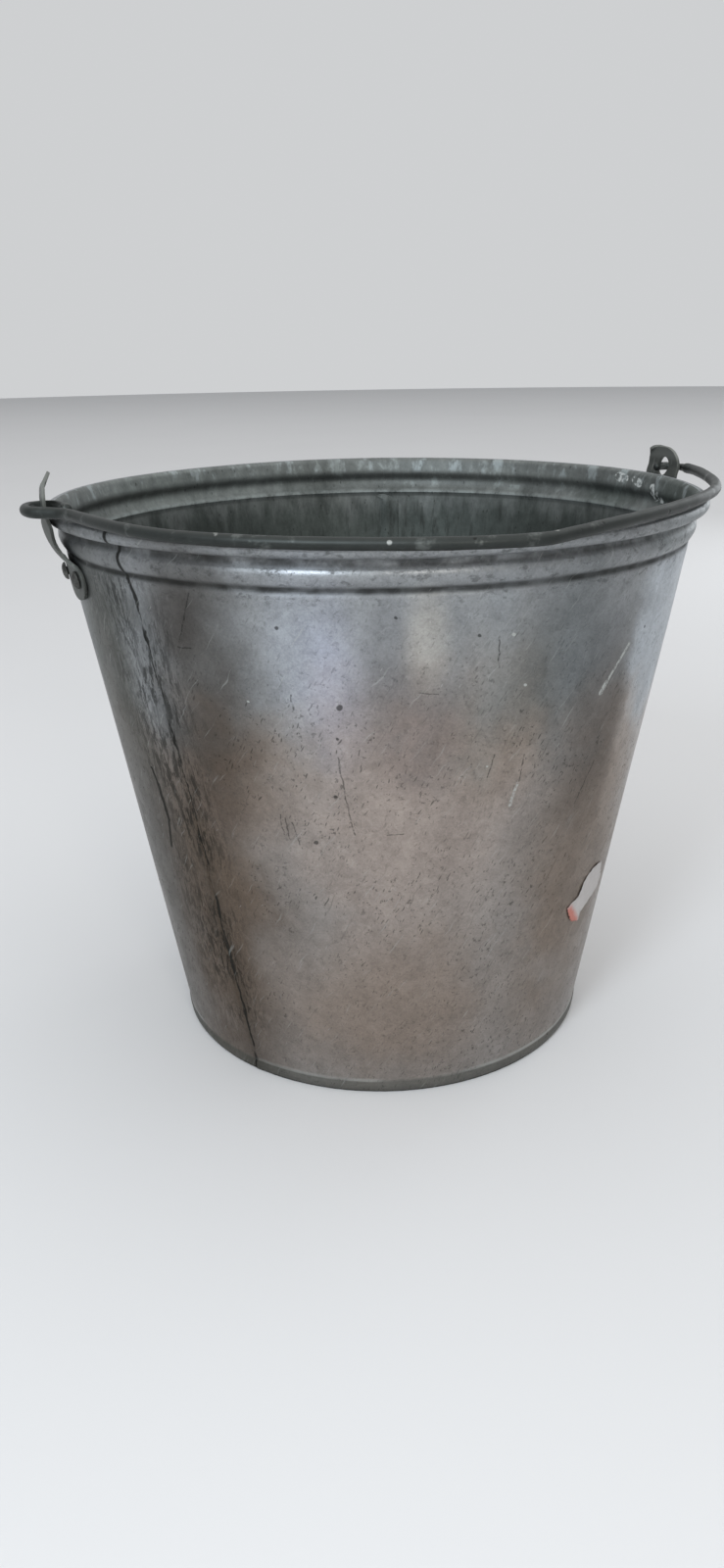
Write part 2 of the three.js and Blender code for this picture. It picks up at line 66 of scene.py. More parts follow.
# Heights and radii in millimetres, from the frame's own nodes
FOOT_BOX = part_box("front_body_sheet")
WIRE_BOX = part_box("rim_wire")
RIM_TOP = FOOT_BOX[1].z / MM
CURL_HEIGHT = (WIRE_BOX[0].z + WIRE_BOX[1].z) / 2 / MM
RIM_WIRE_RADIUS = (WIRE_BOX[1].z - WIRE_BOX[0].z) / 2 / MM
CURL_RADIUS_FROM_AXIS = WIRE_BOX[1].x / MM - RIM_WIRE_RADIUS
AXIS = Vector((0, (WIRE_BOX[0].y + WIRE_BOX[1].y) / 2, 0))


class BucketSizes(bpy.types.PropertyGroup):
    """Sizes of the sheet, in millimetres and degrees, that the fine surfaces follow."""

    sheet: bpy.props.FloatProperty(
        name="Sheet", description="Thickness of the zinc-coated sheet, mm", default=0.6, min=0.3, max=2)
    foot_radius: bpy.props.FloatProperty(
        name="Foot radius", description="Outside of the cone at the floor, mm",
        default=102, min=60, max=200)
    top_radius: bpy.props.FloatProperty(
        name="Top radius", description="Outside of the cone under the groove, mm",
        default=142.8, min=80, max=260)
    cone_height: bpy.props.FloatProperty(
        name="Cone height", description="Height of the groove above the floor, mm",
        default=242, min=100, max=400)
    waviness: bpy.props.FloatProperty(
        name="Waviness", description="Depth of the shallow dents in the wall, mm",
        default=0.3, min=0, max=1)
    back_seam: bpy.props.FloatProperty(
        name="Back seam", description="Upright seam at the back, degrees from +X", default=65.8)


class BucketColours(bpy.types.PropertyGroup):
    """Colours of the worn finishes, scene linear."""

    # The wall's warm zinc tone is partly a painted reflection from below; zinc_cool is its tone near the
    # rim
    zinc: bpy.props.FloatVectorProperty(
        name="Zinc", description="Worn zinc of the wall", subtype="COLOR", size=3,
        default=(0.285, 0.264, 0.248))
    zinc_cool: bpy.props.FloatVectorProperty(
        name="Cool zinc", description="Brighter zinc near the rim", subtype="COLOR", size=3,
        default=(0.272, 0.284, 0.292))
    # This colour also paints the shade in the wall's groove, recess and foot, and under the inside bead
    grime_and_shade: bpy.props.FloatVectorProperty(
        name="Grime", description="Dirt in pits and grooves", subtype="COLOR", size=3,
        default=(0.012, 0.012, 0.01))
    inside: bpy.props.FloatVectorProperty(
        name="Inside", description="Stained zinc of the inside", subtype="COLOR", size=3,
        default=(0.136, 0.146, 0.141))
    bail: bpy.props.FloatVectorProperty(
        name="Bail", description="Dull wire of the bail", subtype="COLOR", size=3,
        default=(0.037, 0.041, 0.039))
    # The ears' dark colour is partly painted shade on the plate's face
    ear: bpy.props.FloatVectorProperty(
        name="Ear", description="Stamped plate of the ears", subtype="COLOR", size=3,
        default=(0.085, 0.09, 0.083))
    paper: bpy.props.FloatVectorProperty(
        name="Paper", description="Torn label scrap", subtype="COLOR", size=3, default=(0.5, 0.48, 0.47))


def sizes():
    return bpy.context.scene.bucket_sizes


def colours():
    return bpy.context.scene.bucket_colours


# Geometry helpers, all in millimetres until a mesh is made


def smoothstep(low, high, value):
    """0 below low, 1 above high, and an S curve between them."""
    share = np.clip((value - low) / (high - low), 0, 1)
    return share * share * (3 - 2 * share)


def cone_radius(z):
    """Outside of the cone: a straight line from the foot radius to the top radius."""
    s = sizes()
    return s.foot_radius + (s.top_radius - s.foot_radius) / s.cone_height * z


def front_seam(z):
    """Angle of the front seam from +X: it leans over the cone and jogs back under the groove."""
    height, turn = np.transpose(SEAM_PATH)
    return 270 + np.interp(z, height, turn)


def back_seam(z):
    """Angle of the upright back seam from +X."""
    return sizes().back_seam + 0 * z


def spline(points, count):
    """A centripetal Catmull-Rom curve through points, resampled to count even steps."""
    points = np.asarray(points, float)
    padded = np.vstack([2 * points[0] - points[1], points, 2 * points[-1] - points[-2]])
    fine = []
    t = np.linspace(0, 1, 24, endpoint=False)[:, None]
    for i in range(len(points) - 1):
        p0, p1, p2, p3 = padded[i:i + 4]
        d1 = max(np.linalg.norm(p1 - p0) ** 0.5, LEAST)
        d2 = max(np.linalg.norm(p2 - p1) ** 0.5, LEAST)
        d3 = max(np.linalg.norm(p3 - p2) ** 0.5, LEAST)
        m1 = d2 * ((p1 - p0) / d1 - (p2 - p0) / (d1 + d2) + (p2 - p1) / d2)
        m2 = d2 * ((p2 - p1) / d2 - (p3 - p1) / (d2 + d3) + (p3 - p2) / d3)
        fine.append((2 * t**3 - 3 * t**2 + 1) * p1 + (t**3 - 2 * t**2 + t) * m1
                    + (3 * t**2 - 2 * t**3) * p2 + (t**3 - t**2) * m2)
    curve = np.vstack(fine + [points[-1:]])
    length = np.concatenate([[0], np.cumsum(np.linalg.norm(np.diff(curve, axis=0), axis=1))])
    even = np.linspace(0, length[-1], count)
    return np.stack([np.interp(even, length, curve[:, k]) for k in range(curve.shape[1])], 1)


def offset_line(line, distance):
    """A flat line moved sideways by distance along its own left-hand normals."""
    along = np.gradient(line, axis=0)
    along /= np.maximum(np.linalg.norm(along, axis=1), LEAST)[:, None]
    return line + distance * np.stack([-along[:, 1], along[:, 0]], 1)


def polar(r, angle, z):
    turn = np.radians(angle)
    return np.stack([r * np.cos(turn), r * np.sin(turn), z + 0 * r * turn], -1)


def grid_faces(rows, columns, close_rows=False, close_columns=False):
    """Quads of a grid of rows by columns, wrapped round where it closes."""
    i = np.arange(rows if close_rows else rows - 1)
    j = np.arange(columns if close_columns else columns - 1)
    i, j = [a.ravel() for a in np.meshgrid(i, j, indexing="ij")]
    k, m = (i + 1) % rows, (j + 1) % columns
    return np.stack([i * columns + j, k * columns + j, k * columns + m, i * columns + m], 1)


def make_mesh(name, points, faces, materials, face_material=None, crease=35):
    """A mesh object from points in mm and quads, smooth but for edges sharper than crease."""
    mesh = bpy.data.meshes.new(name)
    placed = np.asarray(points).reshape(-1, 3) * MM + np.array(AXIS)
    mesh.from_pydata(placed.tolist(), [], [list(f) for f in faces])
    for material in materials:
        mesh.materials.append(material)
    if face_material is not None:
        mesh.polygons.foreach_set("material_index", np.asarray(face_material, np.int32))
    mesh.polygons.foreach_set("use_smooth", np.ones(len(mesh.polygons), bool))
    mesh.update()
    piece = bpy.data.objects.new(name, mesh)
    bpy.context.scene.collection.objects.link(piece)
    face_outwards(piece)
    mesh.set_sharp_from_angle(angle=math.radians(crease))
    return piece


def face_outwards(piece):
    """Merges doubled points and drops empty faces, then turns every face outwards."""
    work = bmesh.new()
    work.from_mesh(piece.data)
    bmesh.ops.remove_doubles(work, verts=work.verts, dist=1e-7)
    bmesh.ops.dissolve_degenerate(work, edges=work.edges, dist=1e-8)
    bmesh.ops.recalc_face_normals(work, faces=work.faces)
    work.to_mesh(piece.data)
    work.free()


def seat(piece, body, slot, *nodes):
    """Rides a finished piece on its body, in place of the nodes that it stands for."""
    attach(piece, body)
    if nodes:
        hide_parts(*nodes)
    return piece


# Shader helpers


class Signal:
    """A number socket whose arithmetic adds Math nodes to its tree."""

    def __init__(self, paint, socket):
        self.paint = paint
        self.socket = socket

    def __add__(self, other):
        return self.paint.math("ADD", self, other)

    def __sub__(self, other):
        return self.paint.math("SUBTRACT", self, other)

    def __rsub__(self, other):
        return self.paint.math("SUBTRACT", other, self)

    def __mul__(self, other):
        return self.paint.math("MULTIPLY", self, other)

    def __truediv__(self, other):
        return self.paint.math("DIVIDE", self, other)

    def __pow__(self, other):
        return self.paint.math("POWER", self, other)

    def __neg__(self):
        return self * -1.0

    __radd__ = __add__
    __rmul__ = __mul__


class Paint:
    """Builds one material's node tree."""

    def __init__(self, name):
        self.material = bpy.data.materials.new(name)
        self.material.use_nodes = True
        self.tree = self.material.node_tree
        self.shader = self.tree.nodes["Principled BSDF"]
        self.shader.inputs["Specular IOR Level"].default_value = SHEEN_LEVEL
        place = self.node("ShaderNodeTexCoord").outputs["Object"]
        self.object = self.node("ShaderNodeVectorMath", {"operation": "SUBTRACT"}, {
            0: place, 1: tuple(AXIS)}).outputs[0]

    def node(self, kind, settings=None, inputs=None):
        made = self.tree.nodes.new(kind)
        for key, value in (settings or {}).items():
            setattr(made, key, value)
        for key, value in (inputs or {}).items():
            self.feed(made.inputs[key], value)
        return made

    def feed(self, socket, value):
        if isinstance(value, Signal):
            value = value.socket
        if isinstance(value, bpy.types.NodeSocket):
            self.tree.links.new(value, socket)
        elif isinstance(value, (tuple, list)) and len(value) == 3 and socket.type == "RGBA":
            socket.default_value = (*value, 1)
        else:
            socket.default_value = value

    def math(self, operation, *values):
        made = self.node("ShaderNodeMath", {"operation": operation}, dict(enumerate(values)))
        return Signal(self, made.outputs[0])

    def vector(self, x, y, z):
        return self.node("ShaderNodeCombineXYZ", inputs={"X": x, "Y": y, "Z": z}).outputs[0]

    def stretched(self, scale):
        """Object coordinates scaled apart on each axis."""
        return self.node("ShaderNodeMapping", inputs={"Vector": self.object, "Scale": scale}).outputs[0]

    def noise(self, place, scale, detail=3.0, roughness=0.5, distortion=0.0):
        made = self.node("ShaderNodeTexNoise", inputs={
            "Vector": place, "Scale": scale, "Detail": detail, "Roughness": roughness,
            "Distortion": distortion})
        return Signal(self, made.outputs["Fac"])

    def cells(self, place, scale):
        """Voronoi distance and a random number of each cell."""
        made = self.node("ShaderNodeTexVoronoi", inputs={"Vector": place, "Scale": scale})
        pick = self.node("ShaderNodeSeparateColor", inputs={0: made.outputs["Color"]})
        return Signal(self, made.outputs["Distance"]), Signal(self, pick.outputs[0])

    def ease(self, value, low, high, start=0.0, end=1.0):
        """An S curve from start at low to end at high."""
        made = self.node("ShaderNodeMapRange", {"interpolation_type": "SMOOTHSTEP"}, {
            "Value": value, "From Min": low, "From Max": high, "To Min": start, "To Max": end})
        return Signal(self, made.outputs[0])

    def near(self, value, low, high):
        """1 where value is within low of 0, falling to 0 at high."""
        return self.ease(self.math("ABSOLUTE", value), low, high, 1.0, 0.0)

    def blend(self, share, first, second, mode="MIX"):
        """Colour first where share is 0 and second where it is 1."""
        made = self.node("ShaderNodeMix", {"data_type": "RGBA", "blend_type": mode}, {
            0: share, 6: first, 7: second})
        return made.outputs[2]

    def toned(self, colour, tone):
        """Colour made lighter or darker by a grey tone."""
        return self.blend(1.0, colour, self.vector(tone, tone, tone), "MULTIPLY")

    def most(self, *values):
        result = values[0]
        for value in values[1:]:
            result = self.math("MAXIMUM", result, value)
        return result

    def finish(self, colour, roughness, metallic, height=None):
        """Feeds the shader; height is in millimetres."""
        self.feed(self.shader.inputs["Base Color"], colour)
        self.feed(self.shader.inputs["Roughness"], roughness)
        self.feed(self.shader.inputs["Metallic"], metallic)
        if height is not None:
            bump = self.node("ShaderNodeBump", inputs={"Height": height, "Distance": MM, "Strength": 1.0})
            self.feed(self.shader.inputs["Normal"], bump.outputs[0])
        return self.material


class WallPaint(Paint):
    """Adds the wall's own coordinates: height, and arc length from the front, both in mm."""

    MEAN_RADIUS = 122.0

    def __init__(self, name):
        super().__init__(name)
        split = self.node("ShaderNodeSeparateXYZ", inputs={0: self.object})
        x, y, z = [Signal(self, split.outputs[k]) for k in range(3)]
        self.height = z * (1 / MM)
        self.turn = self.math("ARCTAN2", x, -y) * (180 / math.pi)
        self.arc = self.turn * math.radians(self.MEAN_RADIUS)
        self.shake = (self.noise(self.object, 260, 2) - 0.5) * 1.6
        self.wobble = self.noise(self.object, 130, 1) * 3.0

    def stroke(self, start, end, width, soften=0.5):
        """1 on a straight stroke between two (degrees, mm) places, fading past its half width."""
        k = math.radians(self.MEAN_RADIUS)
        x0, y0, x1, y1 = start[0] * k, start[1], end[0] * k, end[1]
        length = max(math.hypot(x1 - x0, y1 - y0), SHORTEST_STROKE)
        ux, uy = (x1 - x0) / length, (y1 - y0) / length
        dx, dy = self.arc + self.shake - x0, self.height + self.shake - y0
        along = self.math("MINIMUM", self.math("MAXIMUM", dx * ux + dy * uy, 0.0), length)
        away = self.math("SQRT", (dx - along * ux) ** 2.0 + (dy - along * uy) ** 2.0)
        return self.ease(away, width / 2, width / 2 + soften, 1.0, 0.0)

    def strokes(self, list_of_strokes, fineness=1.0):
        return self.most(*[self.stroke(start, end, width * fineness, 0.5 * fineness)
                           for start, end, width in list_of_strokes])

    def spots(self, entries, soften):
        """Round spots of (degrees, mm, width)."""
        return self.most(*[self.stroke((turn, up), (turn, up), width, soften)
                           for turn, up, width in entries])

    def slanted(self, across, along, slant):
        """Wall coordinates leaned by slant degrees off upright, in steps of across and along mm."""
        lean = math.radians(slant)
        u = self.arc * math.cos(lean) - self.height * math.sin(lean) + self.wobble
        v = self.arc * math.sin(lean) + self.height * math.cos(lean)
        return self.vector(u * (1 / across), v * (1 / along), 0.0)

    def dashes(self, across, along, slant, share, size=0.26):
        """Short slanted marks: cells of a leaned grid, of which a share is marked."""
        distance, pick = self.cells(self.slanted(across, along, slant), 1.0)
        return self.ease(distance, size * 0.45, size, 1.0, 0.0) * self.math("LESS_THAN", pick, share)

    def path(self, points):
        """The degrees of a path of (mm, degrees) points at each height."""
        total = points[0][1]
        for (low, start), (high, end) in zip(points, points[1:]):
            made = self.node("ShaderNodeMapRange", inputs={
                "Value": self.height, "From Min": low, "From Max": high,
                "To Min": 0.0, "To Max": end - start})
            total = Signal(self, made.outputs[0]) + total
        return total

    def shade(self, colour, place, spread, tint, warp):
        """Colour times tint on a soft patch about a (degrees, mm) place."""
        around = self.math("WRAP", self.turn + warp * spread[0] - place[0], 180.0, -180.0)
        across = around / spread[0]
        up = (self.height + warp * (spread[1] * 0.8) - place[1]) / spread[1]
        away = self.math("SQRT", across ** 2.0 + up ** 2.0)
        return self.blend(self.ease(away, 1.2, 0.25), colour, tint, "MULTIPLY")


# Marks on the wall, placed in degrees from the front and mm above the floor. Spots end in a width
DARK_SPOTS = [(-28.5, 196.5, 1.7), (-29, 183.5, 0.8), (-30, 157.5, 1.1), (-34.2, 135.5, 1.3),
              (-19.5, 232.5, 0.8), (-6.5, 224, 1.0), (-37.6, 228, 0.9), (31, 214, 0.8)]
PALE_SPOTS = [(-0.8, 223, 1.3), (2.5, 201.5, 1.1), (-44, 197, 0.7), (-3, 168, 0.6)]
DARK_SCRATCHES = [
    ((-29.2, 175), (-28.6, 164), 0.5), ((-28.6, 164), (-26.8, 140), 0.4),
    ((-20.8, 140), (-17.8, 140.4), 0.35), ((-15.8, 202.5), (-12.6, 201.2), 0.3),
    ((-40.8, 147), (-40.4, 138), 0.5), ((-39.8, 146), (-39.4, 136), 0.4),
    ((-38.6, 144), (-37.4, 134), 0.5), ((-56.5, 216), (-53.5, 216.5), 0.5),
    ((-52, 239), (-55.8, 218.5), 0.5), ((-36.4, 201), (-36.2, 195), 0.5),
    ((-3.2, 223), (-2.8, 210), 0.5), ((-1.8, 173), (-2.8, 163), 0.35),
    ((4.2, 170.5), (4.0, 159), 0.35), ((23, 158), (19.5, 140), 0.4),
]
LONG_SCRATCH = [((-72.8, 154), (-71.8, 146.5), 1.3), ((-71.8, 146.5), (-70.9, 130), 1.9),
                ((-70.9, 130), (-72.8, 115), 1.2)]
PALE_SCRATCHES = [((26.4, 209), (21.4, 194), 0.9), ((21.4, 194), (20.6, 190.5), 2.0),
                  ((3.6, 158), (2.6, 148), 0.7)]

# Small slanted marks: mm across, mm along, degrees of slant, share of the cells marked and size in a cell
FLECKS = [(1.5, 7.5, 28, 0.2, 0.26), (1.1, 4.4, 20, 0.22, 0.3), (2.0, 13.0, 34, 0.09, 0.17),
          (1.3, 2.4, 8, 0.08, 0.3)]
PALE_FLECKS = (1.4, 9.0, 34, 0.05, 0.14)

# Painted light and shade of the wall, with some real dark staining by the front seam: highlight columns,
# reflections and shaded flanks as soft patches of (degrees, mm) place, (degrees, mm) spread, and a
# multiplying tint
WALL_LIGHT_AND_SHADE = [
    ((-83, 150), (20, 170), (0.37, 0.38, 0.365)), ((-80, 195), (14, 60), (0.86, 0.85, 0.8)),
    ((-52, 205), (12, 80), (0.41, 0.385, 0.36)), ((-50, 160), (16, 34), (0.88, 0.8, 0.73)),
    ((-56, 228), (7, 22), (0.66, 0.63, 0.61)), ((-62, 80), (22, 120), (0.5, 0.41, 0.33)),
    ((-33.5, 216), (7, 48), (1.24, 1.26, 1.33)), ((-29, 204), (6.5, 44), (1.1, 1.1, 1.18)),
    ((-21, 218), (4, 34), (0.84, 0.84, 0.85)), ((-14.5, 222), (4.5, 26), (1.38, 1.3, 1.2)),
    ((-16, 188), (13, 34), (0.74, 0.69, 0.67)), ((-1, 190), (12, 46), (0.93, 0.87, 0.8)),
    ((-18, 146), (26, 80), (1.22, 1.13, 1.08)), ((-3, 214), (4, 44), (1.0, 1.02, 1.04)),
    ((9, 206), (11, 52), (0.63, 0.65, 0.65)), ((21, 180), (10, 64), (0.62, 0.62, 0.62)),
    ((28, 105), (24, 105), (0.7, 0.61, 0.53)), ((-20, 46), (30, 50), (0.96, 0.86, 0.78)),
    ((52, 253), (34, 11), (0.55, 0.58, 0.57)), ((-92, 225), (10, 50), (1.2, 1.22, 1.24)),
    ((110, 170), (30, 90), (1.2, 1.22, 1.26)), ((150, 90), (26, 90), (0.78, 0.76, 0.72)),
    ((-140, 160), (34, 110), (0.84, 0.84, 0.84)), ((-165, 215), (16, 40), (1.25, 1.27, 1.3)),
]

# A painted reflection at the right, a pale upright strip: degrees where it comes in and where it goes out
REFLECTION_STRIP_IN = (25.2, 31.5)
REFLECTION_STRIP_OUT = (86, 64)
REFLECTION_STRIP_TINT = (1.5, 1.55, 1.62)

# Heights in mm where the finish changes
COOL_FROM = (150, 213)
SEAM_FADE = (241, 226)
RECESS_HEIGHT = 253.2
BEAD_HEIGHT = 252.2
RIDGE_HEIGHT = 242.4

FOOT_STAIN = (0.075, 0.085, 0.076)
BARE_ZINC = (0.5, 0.52, 0.5)


class WornWall(WallPaint):
    """The outside of the wall: the fields that its marks share, and each kind of mark."""

    def __init__(self):
        super().__init__("worn_zinc_wall")
        self.cloud = self.noise(self.object, 14, 4, 0.55)
        self.warp = self.noise(self.object, 24, 3, 0.55) - 0.5
        bend = self.noise(self.object, 60, 2)
        bent = self.node("ShaderNodeVectorMath", {"operation": "ADD"}, {
            0: self.object, 1: self.vector(bend * 0.012, bend * 0.009, bend * -0.012)}).outputs[0]
        self.spangle = self.cells(bent, 120)[1]
        self.fine_spangle = self.cells(bent, 380)[1]
        self.grain = self.noise(self.object, 900, 2, 0.6)
        self.mottle = self.noise(self.object, 150, 4, 0.62)
        self.smear = self.noise(self.stretched((1, 1, 0.22)), 55, 3, 0.6)
        self.pits = self.ease(self.noise(self.object, 430, 4, 0.72), 0.585, 0.65)
        self.worn_edge = self.ease(self.noise(self.object, 700, 3, 0.7), 0.34, 0.56, 0.15, 1.0)

        jags = self.noise(self.stretched((1, 1, 0.45)), 150, 3, 0.6)
        self.wander = (self.noise(self.object, 60, 2) - 0.5) * 4.0 + (jags - 0.5) * 7.0
        self.crack_width = self.noise(self.object, 130, 2) * 1.9 - 0.35
        self.breaks = self.ease(self.noise(self.stretched((1, 1, 0.5)), 120, 2), 0.34, 0.48, 0.25, 1.0)
        self.vein_field = self.noise(self.stretched((1, 1, 0.26)), 230, 4, 0.65, 0.8)
        self.veins = self.near(self.vein_field - 0.5, 0.012, 0.05) * 0.7
        self.below_groove = self.ease(self.height, *SEAM_FADE)

    def zinc(self):
        """Cool zinc by the rim and warm zinc below, the warmth partly a painted reflection from below,
        times a grey tone of noises, the soft patches of painted light and shade, and the painted reflection
        strip.
        """
        c = colours()
        # Warm below to cool by the rim: partly a painted reflection of warm light from below
        cool = self.ease(self.height + self.warp * 120.0, *COOL_FROM)
        colour = self.blend(cool, tuple(c.zinc), tuple(c.zinc_cool))
        speckle = self.noise(self.object, 1500, 2, 0.7)
        blotch = self.noise(self.object, 60, 5, 0.68)
        tone = (self.cloud * 0.3 + self.spangle * 0.08 + self.fine_spangle * 0.12 + self.smear * 0.3
                + self.mottle * 0.3 + blotch * 0.4 + self.grain * 0.42 + speckle * 0.4 - 0.15)
        colour = self.toned(colour, tone)
        # Soft patches of painted highlight, reflection and shade
        for place, spread, tint in WALL_LIGHT_AND_SHADE:
            colour = self.shade(colour, place, spread, tint, self.warp)
        # Painted reflection: the pale upright strip on the right, fainter low down and by the rim
        strip = self.ease(self.turn + self.warp * 15.0, *REFLECTION_STRIP_IN) * self.ease(self.turn, *REFLECTION_STRIP_OUT)
        strip = strip * self.ease(self.height, 96, 190, 0.1, 1.0)
        strip = strip * self.ease(self.height, 247, 236, 0.15, 1.0)
        return self.blend(strip, colour, REFLECTION_STRIP_TINT, "MULTIPLY")

    def small_marks(self):
        """Flecks, pits and hairlines, thicker in clusters and thinner towards the rim."""
        cluster = self.ease(self.noise(self.object, 30, 3, 0.6), 0.4, 0.62, 0.4, 1.0)
        cluster = cluster * self.ease(self.height, 238, 175, 0.35, 1.0)
        flecks = self.most(*[self.dashes(*kind) for kind in FLECKS])
        hairlines = self.ease(self.noise(self.slanted(1.4, 26, 24), 1.0, 3), 0.64, 0.72)
        return self.most(flecks * 0.6, self.pits * 0.5, hairlines * 0.27) * cluster

    def front_seam(self):
        """The front seam's jagged crack, with upright flakes to its left, a few to its right and a halo."""
        from_seam = (self.turn - self.path(SEAM_PATH)) * math.radians(self.MEAN_RADIUS)
        crack = from_seam + self.wander * self.below_groove
        zone = self.ease(crack, -46, -3) * self.ease(crack, 22, 1) * self.ease(self.height, 6, 40, 0.3, 1.0)
        zone = zone * self.ease(self.noise(self.object, 40, 3), 0.3, 0.55, 0.4, 1.0)
        zone = zone * self.ease(self.height, 245, 238, 0.15, 1.0)
        flakes = self.noise(self.stretched((1, 1, 0.2)), 420, 4, 0.7) + zone * 0.06
        flakes = self.most(self.veins, self.ease(flakes, 0.55, 0.61)) * zone
        away = self.math("ABSOLUTE", crack)
        line = self.ease(away - self.crack_width, 0.0, 0.8, 1.0, 0.0)
        line = line * self.most(self.breaks, self.ease(self.height, 220, 238))
        halo = self.ease(away, 12, 1.0) * self.below_groove
        return self.most(flakes * 0.8, halo * 0.3, line * 0.95)

    def back_seam(self):
        """The back seam's crack, with fewer flakes and a thinner halo."""
        turn = self.turn - (sizes().back_seam + 90)
        around = self.math("WRAP", turn, 180.0, -180.0) * math.radians(self.MEAN_RADIUS)
        away = self.math("ABSOLUTE", around + self.wander)
        flakes = self.most(self.veins, self.ease(self.vein_field, 0.56, 0.62)) * self.ease(away, 16, 1)
        line = self.ease(away - self.crack_width, 0.0, 0.8, 1.0, 0.0) * self.breaks
        halo = self.ease(away, 10, 1.0)
        return self.most(flakes * 0.7, line * 0.9, halo * 0.25) * self.below_groove

    def scratched(self):
        """Dark spots, short straight scratches and the long gouge on the left."""
        spots = self.spots(DARK_SPOTS, 0.5)
        scratches = self.strokes(DARK_SCRATCHES, 0.6) * self.worn_edge
        return self.most(spots * 0.75, scratches * 0.6, self.strokes(LONG_SCRATCH) * 0.9)

    def crease_shade_and_grime(self):
        """Painted shade with a grimy mottle: in the groove and just under it, in the recess below the curl
        and under the foot.
        """
        groove = self.near(self.height - (sizes().cone_height + BAND_LOW / 2), 0.5, 2.4)
        groove = groove * self.ease(self.noise(self.object, 80, 3), 0.3, 0.6, 0.6, 1.0)
        under_groove = self.ease(self.noise(self.stretched((1, 1, 1.6)), 210, 4, 0.7), 0.52, 0.66)
        under_groove = under_groove * self.ease(self.height, 232, 241)
        # Painted shade in the recess under the curl
        recess = self.near(self.height - RECESS_HEIGHT, 0.6, 3.0)
        recess = recess * self.ease(self.noise(self.object, 70, 4, 0.65), 0.35, 0.6, 0.4, 1.0)
        under_foot = self.ease(self.height, 1.6, 0.4)
        return self.most(groove * 0.85, under_groove * 0.4, recess * 0.7, under_foot * 0.8)

    def bare_marks(self):
        """Pale spots, scratches and hairs, and the worn edge on top of the foot."""
        scratches = self.strokes(PALE_SCRATCHES) * self.worn_edge
        hairs = self.ease(self.noise(self.slanted(1.2, 20, 34), 1.0, 3), 0.62, 0.74)
        foot = self.ease(self.height, 5.6, 6.2) * self.ease(self.height, 8.4, 7.0)
        foot = foot * self.ease(self.cloud, 0.35, 0.55)
        return self.most(self.spots(PALE_SPOTS, 0.3) * 0.8, scratches * 0.8,
                         self.dashes(*PALE_FLECKS) * 0.4, hairs * 0.25, foot * 0.5)


def worn_wall():
    """Outside of the wall: mottled zinc with pits, scratches, grimy marks, a dirty seam and painted shade
    in the groove, under the curl and under the foot.
    """
    p = WornWall()
    foot_grime = p.ease(p.height + p.warp * 4.0, 7.2, 5.2)
    # Grimy marks and dirty seams, together with the painted shade of the groove, recess and foot
    grime_and_shade = p.most(p.small_marks(), p.front_seam(), p.back_seam(), p.scratched(), p.crease_shade_and_grime())
    colour = p.blend(foot_grime * 0.6, p.zinc(), FOOT_STAIN)
    colour = p.blend(grime_and_shade, colour, tuple(colours().grime_and_shade))
    colour = p.blend(p.bare_marks(), colour, BARE_ZINC)
    roughness = (0.3 + (1 - p.spangle) * 0.06 + p.grain * 0.08 + p.cloud * 0.12 + grime_and_shade * 0.32
                 + foot_grime * 0.15 + p.ease(p.height, 60, 20) * 0.06)
    height = p.cloud * 0.5 + p.smear * 0.14 + p.mottle * 0.05 + p.grain * 0.025 - p.pits * 0.08
    return p.finish(colour, roughness, 0.9 - grime_and_shade * 0.3, height)


# Splashes of old paint inside by the right ear: two ends and a width
INNER_SPLASHES = [((96.5, 257.5), (94, 256.5), 3.0), ((91, 257), (89, 255.5), 2.5),
                  ((84, 255), (83, 250), 2.4), ((81.5, 252), (80, 247), 2.0)]

# Soft tones of the inside, laid out as the wall's are
INNER_SHADES = [((66, 254), (20, 14), (0.5, 0.55, 0.52)), ((124, 252), (24, 5), (1.3, 1.3, 1.28)),
                ((-150, 252), (30, 12), (1.15, 1.18, 1.16)), ((172, 250), (16, 12), (0.85, 0.86, 0.85)),
                ((98, 247), (12, 7), (0.8, 0.84, 0.82)), ((150, 236), (26, 14), (0.8, 0.8, 0.8))]
DEEP_TINT = (0.42, 0.45, 0.43)
# Pale tone of the mottled band, also the painted highlight along the inner ridge
PALE_MOTTLE_AND_HIGHLIGHT = (0.27, 0.3, 0.295)
LIP_CHIPS = (0.34, 0.38, 0.385)
OLD_SPLASH = (0.6, 0.62, 0.6)


def inside_tones(p, cloud, stain, mottle, grain):
    """Green-grey zinc: dark and stained below, with a pale mottled band, a painted highlight along the
    ridge and chips on the lip.
    """
    patch = p.cells(p.stretched((1, 1, 0.5)), 130)[1]
    tone = cloud * 0.34 + stain * 0.5 + mottle * 1.1 + patch * 0.06 + grain * 0.26 - 0.1
    colour = p.toned(tuple(colours().inside), tone)
    deep = p.ease(p.height + (stain - 0.5) * 46.0, 247, 226) * p.ease(p.height, 60, 205, 0.2, 1.0)
    colour = p.blend(deep, colour, DEEP_TINT, "MULTIPLY")
    bright = p.ease(mottle + (patch - 0.5) * 0.2, 0.56, 0.72)
    band = p.ease(p.height, 243, 247) * p.ease(p.turn, 60, 120, 0.35, 1.0)
    # Painted highlight: a pale line along the ridge inside the groove
    ridge = p.near(p.height - RIDGE_HEIGHT, 0.3, 2.2) * p.ease(mottle, 0.3, 0.6)
    colour = p.blend(p.most(bright * band, ridge) * 0.5, colour, PALE_MOTTLE_AND_HIGHLIGHT)
    for place, spread, tint in INNER_SHADES:
        colour = p.shade(colour, place, spread, tint, cloud - 0.5)
    chips = p.ease(p.noise(p.stretched((1, 1, 0.5)), 125, 4, 0.6), 0.53, 0.66)
    return p.blend(chips * p.ease(p.height, 252.5, 255.5) * 0.6, colour, LIP_CHIPS)


